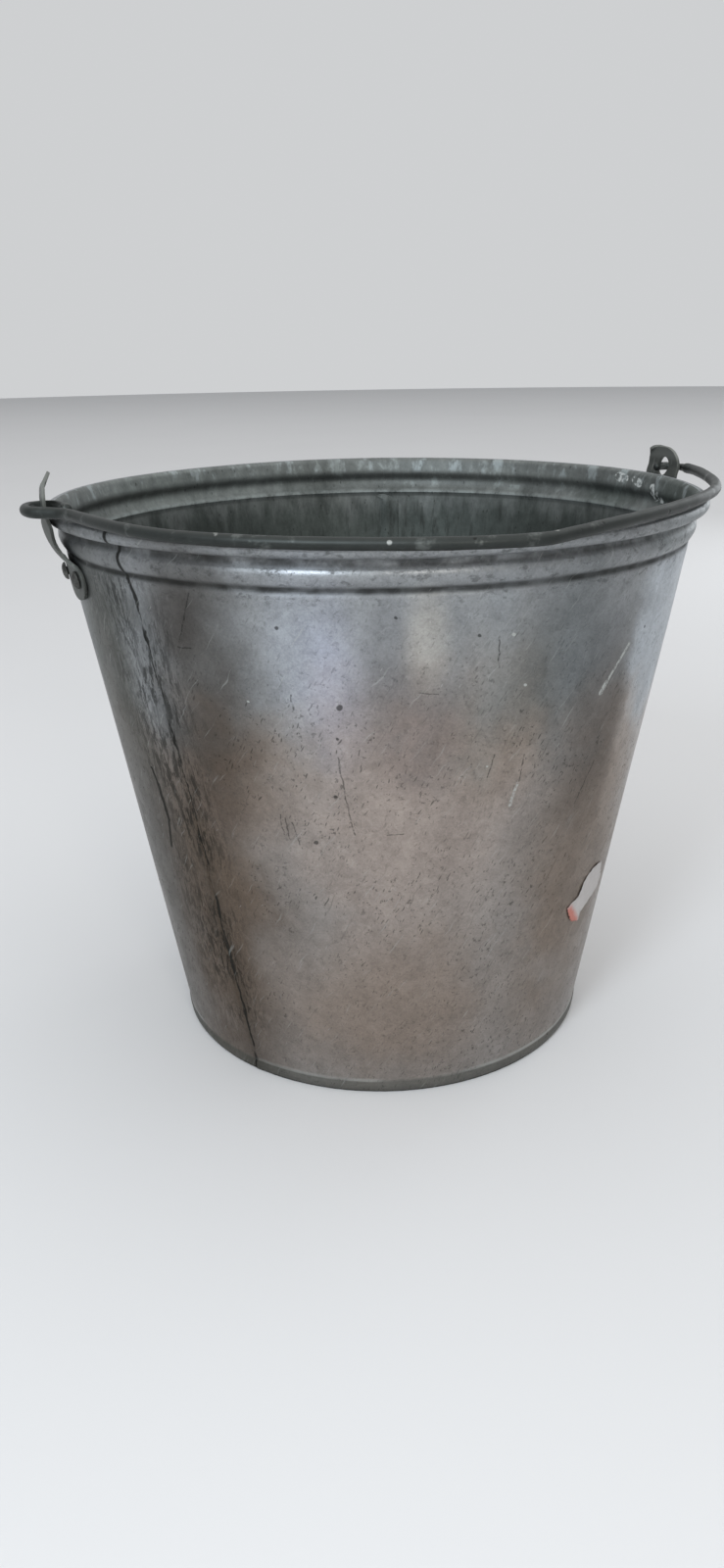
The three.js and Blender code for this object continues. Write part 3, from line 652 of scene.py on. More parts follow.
def stained_inside():
    """Inside of the wall: stained zinc with drips, painted shade under the bead, a darkening towards the
    bottom and old splashes.
    """
    p = WallPaint("stained_zinc_inside")
    cloud = p.noise(p.object, 24, 4, 0.6)
    stain = p.noise(p.stretched((1, 1, 0.25)), 70, 5, 0.65)
    mottle = p.noise(p.stretched((1, 1, 0.7)), 160, 5, 0.68)
    grain = p.noise(p.object, 800, 2)
    colour = inside_tones(p, cloud, stain, mottle, grain)
    drips = p.ease(p.noise(p.stretched((1, 1, 0.1)), 230, 4, 0.65), 0.5, 0.68) * p.ease(p.height, 244, 232)
    # Painted shade: a dark line under the bead, stronger towards the left
    bead = p.near(p.height - BEAD_HEIGHT, 0.4, 3.2) * p.ease(mottle, 0.4, 0.6, 0.55, 1.0)
    left_bead = p.most(p.ease(p.turn, 153, 157), p.ease(p.turn, -40, -60))
    # Drip stains, the bead's painted shade, small marks and a darkening towards the bottom
    darkening = p.most(drips * 0.35, bead * (0.04 + left_bead * 0.2), p.dashes(1.6, 4.0, 2, 0.16) * 0.5,
                  p.ease(p.height, 26, 12) * 0.7)
    colour = p.blend(darkening, colour, tuple(colours().grime_and_shade))
    splash = p.strokes(INNER_SPLASHES, 1.2) * p.ease(p.noise(p.object, 330, 3, 0.6), 0.42, 0.56)
    colour = p.blend(splash * 0.8, colour, OLD_SPLASH)
    roughness = 0.5 + cloud * 0.12 + darkening * 0.25 + splash * 0.2
    height = cloud * 0.35 + stain * 0.12 + mottle * 0.08 + grain * 0.02
    return p.finish(colour, roughness, 0.7 - darkening * 0.45 - splash * 0.6, height)


def bottom_zinc():
    """The bottom: dull zinc with faint water rings, worked as a sine of the distance from the axis."""
    p = WallPaint("water_marked_zinc")
    span = p.node("ShaderNodeVectorMath", {"operation": "LENGTH"}, {0: p.stretched((1, 1, 0))})
    out = Signal(p, span.outputs["Value"]) * (1 / MM)
    cloud = p.noise(p.object, 26, 5, 0.6)
    spot_distance, spot = p.cells(p.object, 140)
    wavy = out + (cloud - 0.5) * 26.0
    rings = p.math("SINE", (wavy + (cloud - 0.5) * 30.0) * 0.16) * 0.5 + 0.5
    colour = p.toned(tuple(colours().inside), 0.85 + cloud * 0.7 + spot * 0.14)
    spots = p.ease(spot_distance, 0.2, 0.1) * p.math("LESS_THAN", spot, 0.25)
    darkening = p.most(p.ease(wavy, 76, 100) * 0.8, p.ease(rings, 0.7, 1.0) * 0.2,
                  p.ease(cloud, 0.62, 0.72) * 0.5, spots * 0.6)
    colour = p.blend(darkening, colour, (0.05, 0.048, 0.04))
    return p.finish(colour, 0.5 + darkening * 0.3, 0.7 - darkening * 0.5, cloud * 0.3 - darkening * 0.1)


def dull_wire():
    """The bail: dark grey-green wire, with light worn spots and a few dark specks."""
    p = Paint("dull_bail_wire")
    cloud = p.noise(p.object, 38, 4, 0.6)
    fine = p.noise(p.object, 420, 3, 0.6)
    distance, pick = p.cells(p.object, 260)
    colour = p.toned(tuple(colours().bail), 0.55 + cloud * 0.6 + fine * 0.35)
    worn = p.ease(p.noise(p.object, 75, 4, 0.65), 0.56, 0.68)
    colour = p.blend(worn * 0.5, colour, (0.16, 0.172, 0.165))
    flecks = p.ease(distance, 0.3, 0.15) * p.math("LESS_THAN", pick, 0.05)
    colour = p.blend(flecks * 0.5, colour, (0.45, 0.46, 0.44))
    specks = p.ease(distance, 0.34, 0.2) * p.math("GREATER_THAN", pick, 0.93)
    colour = p.blend(specks * 0.8, colour, (0.015, 0.015, 0.014))
    roughness = 0.4 - worn * 0.06 + fine * 0.12
    return p.finish(colour, roughness, 0.75 + worn * 0.1, cloud * 0.12 + fine * 0.03 - specks * 0.1)


def ear_plate():
    """The ears: stamped plate with scuffs, dirty patches and a paler top painted as light from above."""
    p = Paint("stamped_ear_plate")
    cloud = p.noise(p.object, 70, 4, 0.6)
    grain = p.noise(p.object, 900, 2)
    scuff = p.noise(p.stretched((1, 1, 0.25)), 400, 3, 0.6)
    colour = p.toned(tuple(colours().ear), 0.6 + cloud * 0.55 + grain * 0.15)
    darkening = p.ease(cloud, 0.58, 0.72) * 0.6
    colour = p.blend(darkening, colour, (0.035, 0.036, 0.03))
    split = p.node("ShaderNodeSeparateXYZ", inputs={0: p.object})
    # Painted light: the ears above 266 mm paler, as if lit from above
    lit_top = p.ease(Signal(p, split.outputs[2]) * (1 / MM), 266, 270)
    colour = p.blend(p.most(p.ease(scuff, 0.6, 0.7) * 0.4, lit_top * 0.55), colour, (0.22, 0.23, 0.215))
    return p.finish(colour, 0.55 + darkening * 0.2, 0.6 - darkening * 0.3, cloud * 0.1 + grain * 0.02)


def dark_rivet():
    """The rivets: dark oxidised heads, mottled lighter in patches."""
    p = Paint("oxidised_rivet")
    cloud = p.noise(p.object, 300, 4, 0.6)
    grain = p.noise(p.object, 1400, 2)
    colour = p.blend(p.ease(cloud, 0.35, 0.65), (0.035, 0.035, 0.032), (0.095, 0.095, 0.088))
    return p.finish(colour, 0.5 + grain * 0.2, 0.55, cloud * 0.12 + grain * 0.03)


def torn_paper():
    """The label scrap: bleached paper with a pinkish lower corner and dirty torn edges."""
    p = WallPaint("torn_label_paper")
    cloud = p.noise(p.object, 160, 4, 0.6)
    fibre = p.noise(p.object, 1500, 3, 0.7)
    colour = p.toned(tuple(colours().paper), 0.78 + cloud * 0.3 + fibre * 0.14)
    colour = p.blend(p.stroke((26.0, 77), (29.5, 69), 6, 4) * 0.85, colour, (0.52, 0.16, 0.12))
    colour = p.blend(p.ease(fibre * cloud, 0.36, 0.46) * 0.4, colour, (0.25, 0.24, 0.22))
    return p.finish(colour, 0.9, 0.0, cloud * 0.25 + fibre * 0.05)


# The sheet walls

FOOT_STEP = 0.7
HEM_HEIGHT = 3.6
HEM_INSET = 1.8
GROOVE_DEPTH = 0.9
BAND_LOW = 1.4
BAND_HEIGHT = 8.4
LIP_HEIGHT = 1.6
CURL_STEPS = 44
CURL_START = 166
CURL_END = -145
CURL_INSIDE_FROM = 100
LAP = 8.0
LAP_CLEARANCE = 0.35
FREE_EDGE_LIFT = 0.3
SEAM_GAP = 0.004
COLUMN_STEP = 1.2
END_COLUMNS = np.array([0.15, 0.4, 0.8, 1.3, 2.0, 3.0, 4.5, 6.5, 9.0, 12.0])


def wall_line():
    """Middle of the sheet, (radius, height): hem, foot, cone, groove, band, lip and rim curl."""
    s = sizes()
    half = s.sheet / 2
    top, z0 = s.top_radius - half, s.cone_height
    foot = [(cone_radius(z) + FOOT_STEP - half - inset, z) for z, inset in
            [(HEM_HEIGHT, HEM_INSET), (1.2, HEM_INSET), (0.45, HEM_INSET - 0.35), (half, 0.9), (0.45, 0.2),
             (1.1, 0.0), (2.6, 0.0), (3.9, 0.0), (4.6, 0.12), (5.2, 0.45), (5.9, 0.66), (7.0, 0.7)]]
    cone = [(cone_radius(z) - half, z) for z in np.linspace(9, z0 - 2.2, 40)]
    groove = [(top - 0.25, z0 - 0.5), (top - GROOVE_DEPTH, z0 + BAND_LOW / 2)]
    bow = np.linspace(0.06, 0.97, 12)
    bulge = np.clip(np.sin(np.pi * np.clip(bow, 0, 1) ** 1.25), 0, 1) ** 0.7
    band = [(top + 0.2 + 0.8 * b + 2.0 * w, z0 + BAND_LOW + BAND_HEIGHT * b) for b, w in zip(bow, bulge)]
    recess = [(top + 1.0, z0 + BAND_LOW + BAND_HEIGHT + 0.3),
              (top + 1.05, z0 + BAND_LOW + BAND_HEIGHT + LIP_HEIGHT)]
    curl_radius = RIM_TOP - CURL_HEIGHT - half
    turn = np.radians(np.linspace(CURL_START, CURL_END, CURL_STEPS))
    curl = np.stack([CURL_RADIUS_FROM_AXIS + curl_radius * np.cos(turn),
                     CURL_HEIGHT + curl_radius * np.sin(turn)], 1)
    body = spline(foot + cone + groove + band + recess + [tuple(curl[0])], 190)
    return np.vstack([body[:-1], curl])


def wall_dents(angle, z):
    """Radial depth of the shallow dents: a few slow waves, still near the ears and the floor."""
    a = np.radians(angle)
    wave = (np.sin(3 * a + 0.7 + z / 90) * 0.5 + np.sin(7 * a - z / 37) * 0.28
            + np.sin(13 * a + 2.1 + z / 23) * 0.14)
    calm = smoothstep(2, 50, z) * (1 - 0.8 * smoothstep(200, 240, z))
    by_ears = 1 - 0.85 * np.exp(-(np.sin(a) / 0.22) ** 2) * smoothstep(190, 225, z)
    return sizes().waviness * wave * calm * by_ears


def seam_columns(span):
    """Shares from 0 to 1 of a span in degrees, closer together by both ends."""
    even = np.linspace(0, 1, int(span / COLUMN_STEP))
    dense = END_COLUMNS / (math.radians(span) * WallPaint.MEAN_RADIUS)
    return np.unique(np.concatenate([even, dense, 1 - dense]))


def end_step(distance, tucked):
    """Radial step at a sheet's end: a tucked end goes in behind its neighbour, a free end lifts."""
    if tucked:
        return -(sizes().sheet + LAP_CLEARANCE) * smoothstep(1.6, 0.1, distance)
    return FREE_EDGE_LIFT * smoothstep(5.0, 0.5, distance)


def sheet_points(line, start, end, tucked):
    """The sheet's closed outline at each column, as arcs of its radius between two seams.

    A tucked sheet runs on for LAP mm past each seam, below the groove.
    """
    s = sizes()
    half = s.sheet / 2
    r, z = np.vstack([offset_line(line, -half), offset_line(line, half)[::-1]]).T
    below_groove = 1 - smoothstep(s.cone_height - 4, s.cone_height - 1, z)
    lap = np.degrees(LAP / r) * below_groove * tucked
    first, last = start(z) - lap, end(z) + lap
    share = seam_columns(float(np.mean(end(z) - start(z))))
    angle = first + (last - first) * share[:, None]
    radius = r + wall_dents(angle, z[None, :])
    for degrees_in in (angle - start(z), end(z) - angle):
        radius = radius + end_step(np.radians(degrees_in) * r, tucked) * below_groove
    points = polar(radius, angle, np.broadcast_to(z, radius.shape))
    points[..., 2] += rim_sag(angle) * smoothstep(250, 258, z)
    return points


def sheet_faces(rows, length):
    """Quads round the outline's columns and over both ends, and 1 for those of the inside."""
    columns = 2 * length
    faces = grid_faces(rows, columns, close_columns=True)
    k = np.arange(length - 1)
    caps = [np.stack([base + k, base + k + 1, base + columns - 2 - k, base + columns - 1 - k], 1)
            for base in (0, (rows - 1) * columns)]
    column = faces[:, 0] % columns - length
    curl_top = CURL_STEPS * (CURL_INSIDE_FROM - CURL_END) / (CURL_START - CURL_END)
    inside = (column >= curl_top) & (column < length - 1)
    return np.vstack([faces, *caps]), np.concatenate([inside.astype(int), np.zeros(2 * len(k), int)])


def body_sheet(name, start, end, tucked, node):
    """A sheet of the wall, rolled between two seams."""
    line = wall_line()
    points = sheet_points(line, start, end, tucked)
    faces, material = sheet_faces(len(points), len(line))
    piece = make_mesh(name, points, faces, [worn_wall_material(), inside_material()], material)
    return seat(piece, "bucket", "zinc_sheet", node)


def rim_sag(angle):
    """The rim's slight rise and fall round the mouth, in mm."""
    a = np.radians(angle)
    return 0.12 * np.sin(2 * a + 0.4) + 0.08 * np.sin(5 * a + 1.2) - 0.1


def worn_wall_material():
    return bpy.data.materials.get("worn_zinc_wall") or worn_wall()


def inside_material():
    return bpy.data.materials.get("stained_zinc_inside") or stained_inside()


class BUCKET_OT_wall(bpy.types.Operator):
    """Rolls the front and back sheets of the wall, with their laps, groove, band and curled rim"""

    bl_idname = "bucket.wall"
    bl_label = "Sheet wall"

    def execute(self, context):
        body_sheet("front_wall", lambda z: front_seam(z) - 360 + SEAM_GAP,
                   lambda z: back_seam(z) - SEAM_GAP, False, "front_body_sheet")
        body_sheet("back_wall", lambda z: back_seam(z) + SEAM_GAP,
                   lambda z: front_seam(z) - SEAM_GAP, True, "back_body_sheet")
        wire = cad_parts["rim_wire"]
        wire.data.materials.clear()
        wire.data.materials.append(inside_material())
        return {"FINISHED"}


def revolve(profile, count):
    """Points of a profile, (radius, height), turned about the axis in count steps."""
    angle = np.linspace(0, 360, count, endpoint=False)
    r, z = np.asarray(profile, float).T
    return polar(r[None, :] + 0 * angle[:, None], angle[:, None] + 0 * r[None, :],
                 np.broadcast_to(z, (count, len(z))))


BOTTOM_STEPS = 180


class BUCKET_OT_bottom(bpy.types.Operator):
    """Presses the bottom: a slightly crowned disc with a stiffening ring and a skirt in the foot"""

    bl_idname = "bucket.bottom"
    bl_label = "Bottom"

    def execute(self, context):
        skirt = cone_radius(12) - 1.2
        line = spline([(cone_radius(1.4) - 0.5, 1.4), (cone_radius(3.8) - 0.5, 3.8),
                       (cone_radius(5.4) - 1.2, 5.4), (skirt, 9.5), (skirt - 0.8, 11.4), (skirt - 2.6, 12),
                       (skirt - 8, 12.0), (skirt - 12, 12.2), (skirt - 14.5, 12.9), (skirt - 17, 12.2),
                       (60, 12.05), (40, 12.3), (20, 12.5), (8, 12.55), (0.05, 12.55)], 120)
        half = sizes().sheet / 2
        upper, lower = offset_line(line, -half), offset_line(line, half)
        profile = np.vstack([lower, upper[::-1]])
        profile[:, 0] = np.maximum(profile[:, 0], 0)
        points = revolve(profile, BOTTOM_STEPS)
        faces = grid_faces(BOTTOM_STEPS, len(profile), close_rows=True, close_columns=True)
        piece = make_mesh("bottom", points, faces, [bottom_zinc()])
        seat(piece, "bucket", "zinc_sheet", "bottom_pan")
        return {"FINISHED"}


# The ears

EAR_PLATE = 1.5
EAR_GAP = 0.3
EAR_HALF_WIDTH = 13.0
EAR_NECK_HALF = 10.0
EAR_FOOT_HALF = 19.0
EAR_FOOT_BOTTOM = 223.5
EAR_FOOT_TOP = 239.0
EAR_WAIST = 247.0
EAR_HEAD = 263.0
EAR_HOLE = 4.6
EAR_BLOCK = 6.6
BLOCK_STEPS = 12
SIDE_STEPS = 7
FOOT_ROWS = 25
EAR_LEAN_BACK = 3.0
RIVET_HEIGHT = 234.0
RIVET_SPACING = 24.0
RIVET_HEAD = 3.9
RIVET_RISE = 2.1
RIVET_STEPS = 40
PIVOT_HEIGHT = 263.9
RIM_OUTSIDE = CURL_RADIUS_FROM_AXIS + (RIM_TOP - CURL_HEIGHT)

EARS = {
    "right": {"side": 0, "top": 273.2, "gap": 2.7, "offset": 6.8, "lift": 0.2, "lean": 14,
              "twist": 0, "sway": 0, "square": 5.0,
              "fold": 78, "fold_side": 1, "fold_start": 268.6, "fold_slope": 34},
    "left": {"side": 180, "top": 277.8, "gap": 1.2, "offset": 5.8, "lift": 0.8, "lean": 4,
             "twist": -6, "sway": 3.3, "square": 2.0,
             "fold": 22, "fold_side": -1, "fold_start": 267.5, "fold_slope": 15},
}


def ear_radius(ear):
    return RIM_OUTSIDE + ear["gap"] + EAR_PLATE / 2


def ear_angle(ear):
    """Where the ear's foot sits, in degrees about the axis."""
    turn = math.degrees(math.asin((ear["offset"] - ear["sway"]) / ear_radius(ear)))
    return ear["side"] + (turn if ear["side"] else -turn)


def bezier(controls, steps):
    """A cubic or quadratic Bezier curve by its own formula."""
    t = np.linspace(0, 1, steps)[:, None]
    c = [np.asarray(v, float) for v in controls]
    if len(c) == 3:
        return (1 - t) ** 2 * c[0] + 2 * t * (1 - t) * c[1] + t**2 * c[2]
    return (1 - t) ** 3 * c[0] + 3 * t * (1 - t) ** 2 * c[1] + 3 * t**2 * (1 - t) * c[2] + t**3 * c[3]


def ear_line(ear):
    """Radius of the strip's middle at each height: on the wall, out past the rim and up."""
    s = sizes()
    tilt = math.atan((s.top_radius - s.foot_radius) / s.cone_height)
    off = (EAR_GAP + EAR_PLATE / 2) * math.cos(tilt)
    low = (cone_radius(EAR_FOOT_BOTTOM - 2) + off, EAR_FOOT_BOTTOM - 2)
    bend = np.array((cone_radius(EAR_FOOT_TOP) + off, EAR_FOOT_TOP))
    rim = np.array((ear_radius(ear), CURL_HEIGHT))
    top = np.array((rim[0] - EAR_LEAN_BACK, ear["top"] + EAR_PLATE))
    reach = rim - bend
    neck = bezier([bend, bend + reach * (0.5, 0.16), rim - reach * (0.04, 0.45), rim], 24)
    head = bezier([rim, (rim[0] + EAR_LEAN_BACK * 0.2, (rim[1] + top[1]) / 2), top], 24)
    return np.vstack([[low], neck, head[1:]])


def ear_half_width(z, ear, power=2.0):
    """Half the width of the outline at a height: rounded foot, waist, neck and round head.

    The head is a superellipse; a higher power gives it a square corner.
    """
    corner = EAR_FOOT_HALF * 0.8
    mid = (RIVET_HEIGHT + EAR_FOOT_BOTTOM) / 2
    foot = bezier([(0, EAR_FOOT_BOTTOM), (corner, EAR_FOOT_BOTTOM), (EAR_FOOT_HALF, mid),
                   (EAR_FOOT_HALF, RIVET_HEIGHT)], 60)
    waist = bezier([(EAR_FOOT_HALF, RIVET_HEIGHT), (EAR_FOOT_HALF, EAR_FOOT_TOP),
                    (EAR_HALF_WIDTH, EAR_FOOT_TOP), (EAR_HALF_WIDTH, EAR_WAIST)], 60)
    line = np.vstack([foot, waist])
    width = np.interp(z, line[:, 1], line[:, 0])
    waist_in = (EAR_HALF_WIDTH - EAR_NECK_HALF) * np.exp(-((z - EAR_WAIST - 2) / 5) ** 2)
    rise = np.clip((z - EAR_HEAD) / (ear["top"] - EAR_HEAD), 0, 1)
    head = EAR_HALF_WIDTH * (1 - rise**power) ** (1 / power)
    return np.where(z > EAR_HEAD, head, width - waist_in)


def ear_grid(ear):
    """Rows of (across, up) points that fill the outline, with an even block about the hole."""
    low_z = PIVOT_HEIGHT + ear["lift"] - EAR_BLOCK
    high_z = min(low_z + 2 * EAR_BLOCK, ear["top"] - 2.2)
    quarter = np.linspace(0, np.pi / 2, FOOT_ROWS + 1)
    lower = EAR_FOOT_BOTTOM + (low_z - EAR_FOOT_BOTTOM) * (1 - np.cos(quarter))
    upper = high_z + (ear["top"] - high_z) * np.sin(np.linspace(0, np.pi / 2, 12))
    z = np.concatenate([lower[:-1], np.linspace(low_z, high_z, BLOCK_STEPS + 1), upper[1:]])
    side = np.linspace(0.5, 1, SIDE_STEPS + 1)
    share = np.concatenate([-side[::-1], np.linspace(-0.5, 0.5, BLOCK_STEPS + 1)[1:-1], side])
    width = np.where(share * ear["fold_side"] > 0, ear_half_width(z, ear, ear["square"])[:, None],
                     ear_half_width(z, ear)[:, None])
    across = share * width
    return np.stack([across, np.broadcast_to(z[:, None], across.shape)], -1)


def block_edge(columns):
    """Indices of the grid's points round the hole's block, in order."""
    r0, c0 = FOOT_ROWS, SIDE_STEPS
    r1, c1 = r0 + BLOCK_STEPS, c0 + BLOCK_STEPS
    places = ([(r0, c) for c in range(c0, c1)] + [(r, c1) for r in range(r0, r1)]
              + [(r1, c) for c in range(c1, c0, -1)] + [(r, c0) for r in range(r1, r0, -1)])
    return np.array([r * columns + c for r, c in places])


def ear_outline_grid(ear):
    """Points (across, up) of the flat plate with its round hole, and the quads between them.

    The grid's block around the hole is left out, and rings that pass from the block's square
    edge to the circle take its place.
    """
    grid = ear_grid(ear)
    rows, columns = grid.shape[:2]
    flat = grid.reshape(-1, 2)
    faces = grid_faces(rows, columns)
    row, column = faces[:, 0] // columns - FOOT_ROWS, faces[:, 0] % columns - SIDE_STEPS
    in_block = (row >= 0) & (row < BLOCK_STEPS) & (column >= 0) & (column < BLOCK_STEPS)
    faces = faces[~in_block]
    inner = edge = block_edge(columns)
    centre = np.array([0.0, PIVOT_HEIGHT + ear["lift"]])
    away = flat[edge] - centre
    circle = centre + EAR_HOLE * away / np.linalg.norm(away, axis=1)[:, None]
    rings = [flat[edge] + (circle - flat[edge]) * t for t in (0.3, 0.6, 0.82, 1.0)]
    for step in range(len(rings)):
        outer, inner = inner, len(flat) + step * len(edge) + np.arange(len(edge))
        faces = np.vstack([faces, np.stack([outer, np.roll(outer, -1), np.roll(inner, -1), inner], 1)])
    return np.vstack([flat, *rings]), faces


def bend_ear(x, y, z, ear):
    """The same knocks as the frame's ear: folded corner, lean, twist and sway."""
    base = ear_radius(ear)
    slope = math.radians(ear["fold_slope"])
    side = ear["fold_side"]
    past = (side * y - EAR_HALF_WIDTH) * math.sin(slope) + (z - ear["fold_start"]) * math.cos(slope)
    past = np.maximum(past, 0)
    turn = math.radians(ear["fold"]) * np.minimum(past / 2, 1)
    shrink = past * (1 - np.cos(turn))
    x = x - past * np.sin(turn)
    y = y - side * shrink * math.sin(slope)
    z = z - shrink * math.cos(slope)
    above = np.maximum(z - CURL_HEIGHT, 0)
    turn = math.radians(ear["lean"]) * np.minimum(above / 6, 1)
    out = x - base
    x = np.where(above > 0, base + out * np.cos(turn) + above * np.sin(turn), x)
    z = np.where(above > 0, CURL_HEIGHT + above * np.cos(turn) - out * np.sin(turn), z)
    turn = math.radians(ear["twist"]) * smoothstep(CURL_HEIGHT - 3, CURL_HEIGHT + 4, z)
    across = x - base
    x = base + across * np.cos(turn) - y * np.sin(turn)
    y = across * np.sin(turn) + y * np.cos(turn)
    y = y - side * ear["sway"] * smoothstep(EAR_FOOT_TOP, CURL_HEIGHT, z)
    return x, y, z


def ear_piece(label, material):
    """An ear: the flat outline rolled onto its strip, bent, thickened and its edges rounded."""
    ear = EARS[label]
    flat, faces = ear_outline_grid(ear)
    line = ear_line(ear)
    y, z = flat[:, 0], flat[:, 1]
    r = np.interp(z, line[:, 1], line[:, 0])
    x = np.sqrt(np.maximum(r**2 - y**2, 0))
    x, y, z = bend_ear(x, y, z, ear)
    turn = math.radians(ear_angle(ear))
    points = np.stack([x * math.cos(turn) - y * math.sin(turn),
                       x * math.sin(turn) + y * math.cos(turn), z], 1)
    piece = make_mesh(f"{label}_ear_plate", points, faces, [material], crease=80)
    add_modifier(piece, "SOLIDIFY", thickness=(EAR_PLATE - 0.1) * MM, offset=0)
    add_modifier(piece, "BEVEL", width=0.35 * MM, segments=2, limit_method="ANGLE",
                 angle_limit=math.radians(50))
    return seat(piece, "bucket", "ear_plate", f"{label}_ear")


def add_modifier(piece, kind, **settings):
    made = piece.modifiers.new(kind.title(), kind)
    for key, value in settings.items():
        setattr(made, key, value)
    return made


class BUCKET_OT_ears(bpy.types.Operator):
    """Stamps and bends the two ears that carry the bail"""

    bl_idname = "bucket.ears"
    bl_label = "Ears"

    def execute(self, context):
        material = ear_plate()
        for label in EARS:
            ear_piece(label, material)
        return {"FINISHED"}


def rivet_profile():
    """A domed head with a soft brim, a shank and a clenched tail, (radius, height)."""
    head = EAR_PLATE + 2 * EAR_GAP
    dome = np.radians(np.linspace(0, 90, 12))
    tail = -sizes().sheet - 0.5
    low = [(0, tail - 1.2), (1.4, tail - 1.15), (2.4, tail - 0.85), (3.0, tail - 0.35), (3.0, tail),
           (1.8, tail)]
    brim = [(1.8, head), (RIVET_HEAD - 0.15, head), (RIVET_HEAD, head + 0.2)]
    top = [(RIVET_HEAD * math.cos(a) ** 0.9, head + 0.2 + (RIVET_RISE - 0.2) * math.sin(a))
           for a in dome[1:-1]]
    return low + brim + top + [(0, head + RIVET_RISE - 0.04)]


class BUCKET_OT_rivets(bpy.types.Operator):
    """Heads the rivets that hold the ears on the wall"""

    bl_idname = "bucket.rivets"
    bl_label = "Rivets"

    def execute(self, context):
        material = dark_rivet()
        s = sizes()
        tilt = math.atan((s.top_radius - s.foot_radius) / s.cone_height)
        wall = float(cone_radius(RIVET_HEIGHT))
        spread = math.degrees(math.asin(RIVET_SPACING / 2 / wall))
        for label, ear in EARS.items():
            for place, side in (("front", -ear["fold_side"]), ("rear", ear["fold_side"])):
                profile = rivet_profile()
                points = revolve(profile, RIVET_STEPS)
                angle = math.radians(ear_angle(ear) + side * spread)
                outward = Vector((math.cos(angle) * math.cos(tilt), math.sin(angle) * math.cos(tilt),
                                  -math.sin(tilt)))
                turn = np.array(outward.to_track_quat("Z", "Y").to_matrix())
                centre = np.array([wall * math.cos(angle), wall * math.sin(angle), RIVET_HEIGHT])
                points = points.reshape(-1, 3) @ turn.T + centre
                faces = grid_faces(RIVET_STEPS, len(profile), close_rows=True)
                piece = make_mesh(f"{label}_{place}_rivet", points, faces, [material], crease=50)
                seat(piece, "bucket", "rivet", f"{label}_ear_{place}_rivet")
        return {"FINISHED"}


# The bail: across, forward and drop below the pivot, from the left eye to the right
BAIL_POINTS = [
    (-144.8, -24, 0), (-145.4, -16, 0), (-147.8, -8.2, 0), (-152.4, -5.8, 0), (-157.5, -7, 0),
    (-160.4, -13.7, 0), (-159.1, -22.4, 0), (-153.4, -27.6, 0), (-148.8, -31.7, 0.05),
    (-145.7, -38.1, 0.1), (-143.6, -47.1, 0.1), (-139.8, -62.2, 0.2), (-132.4, -82.3, 0.6),
    (-124.3, -95.8, 1), (-113.4, -109.1, 1.2), (-99.5, -122.7, 1.3), (-85.1, -133.5, 1.4),
    (-70.8, -142.7, 1.4), (-56, -150.7, 1.4), (-41, -157.5, 1.4), (-24.8, -162.5, 1.4),
    (-10.2, -164.9, 1.4), (-2, -164.5, 1.4), (6.5, -161.7, 1.1), (26.5, -154.2, 0.5),
    (51, -142.7, 0.2), (82.5, -124.1, 0.1), (97, -113.9, 0.05), (117.4, -95.9, 0),
    (131.6, -78.2, 0), (146, -53.9, 0.2), (155.9, -33.5, 0.3), (160, -21, 0.3),
    (160.3, -11.8, 0.2), (156.3, -6.4, 0), (148.8, -6.4, 0),
]
BAIL_RADIUS = 2.4
BAIL_STEPS = 620
BAIL_SIDES = 24
BAIL_END_ROUNDING = 1.6

# Wear of the wire: share along it, spread and depth in mm, then where the thin end starts and its depth
WORN_WIRE = [(0.958, 0.003, -0.12), (0.972, 0.004, 0.25), (0.56, 0.01, 0.05)]
THIN_END = (0.962, 0.45)


def carried_frames(route):
    """Two normals at each point of a route: one level and across it, one square to both."""
    along = np.gradient(route, axis=0)
    along /= np.linalg.norm(along, axis=1)[:, None]
    side = np.cross(along, (0, 0, 1.0))
    side /= np.linalg.norm(side, axis=1)[:, None]
    return side, np.cross(side, along)


class BUCKET_OT_bail(bpy.types.Operator):
    """Bends the bail wire, worn thin where it rubs in its right ear, with rounded ends"""

    bl_idname = "bucket.bail"
    bl_label = "Bail"

    def execute(self, context):
        knots = [(x, y, PIVOT_HEIGHT - drop) for x, y, drop in BAIL_POINTS]
        route = spline(knots, BAIL_STEPS)
        share = np.linspace(0, 1, BAIL_STEPS)
        side, up = carried_frames(route)
        radius = BAIL_RADIUS * (0.985 + 0.012 * np.sin(share * 90) + 0.01 * np.sin(share * 211 + 1))
        for place, width, depth in WORN_WIRE:
            radius = radius - depth * np.exp(-((share - place) / width) ** 2)
        length = np.linalg.norm(np.diff(route, axis=0), axis=1).sum()
        radius = radius - THIN_END[1] * smoothstep(THIN_END[0], THIN_END[0] + 0.002, share)
        from_end = np.clip(np.minimum(share, 1 - share) * length / BAIL_END_ROUNDING, 0, 1)
        radius = radius * np.sqrt(np.clip(1 - (1 - from_end) ** 2, 0, 1))
        turn = np.linspace(0, 2 * np.pi, BAIL_SIDES, endpoint=False)
        ring = side[:, None, :] * np.cos(turn)[None, :, None] + up[:, None, :] * np.sin(turn)[None, :, None]
        points = route[:, None, :] + ring * radius[:, None, None]
        faces = grid_faces(BAIL_STEPS, BAIL_SIDES, close_columns=True)
        piece = make_mesh("bail", points, faces, [dull_wire()], crease=60)
        seat(piece, "bail", "bail_wire", "bail_handle")
        return {"FINISHED"}


# The label scrap: across and up from its middle
LABEL_OUTLINE = [
    (12.9, 12.1), (6.6, 13.8), (1.4, 12.9), (-2.9, 11), (-6.2, 7.7), (-8.4, 1.8), (-13.1, 0.5),
    (-16.6, -1.2), (-14.2, -6), (-11, -10), (-6.4, -12.5), (-1.7, -14), (-1.9, -9.1), (5, -7.3),
    (12.9, -4.9), (17, -1.9), (18.9, 2),
]
LABEL_ANGLE = -56.7
LABEL_HEIGHT = 83.0
LABEL_RINGS = 26
LABEL_STEPS = 150
LABEL_LIFT = 0.28
PAPER = 0.16


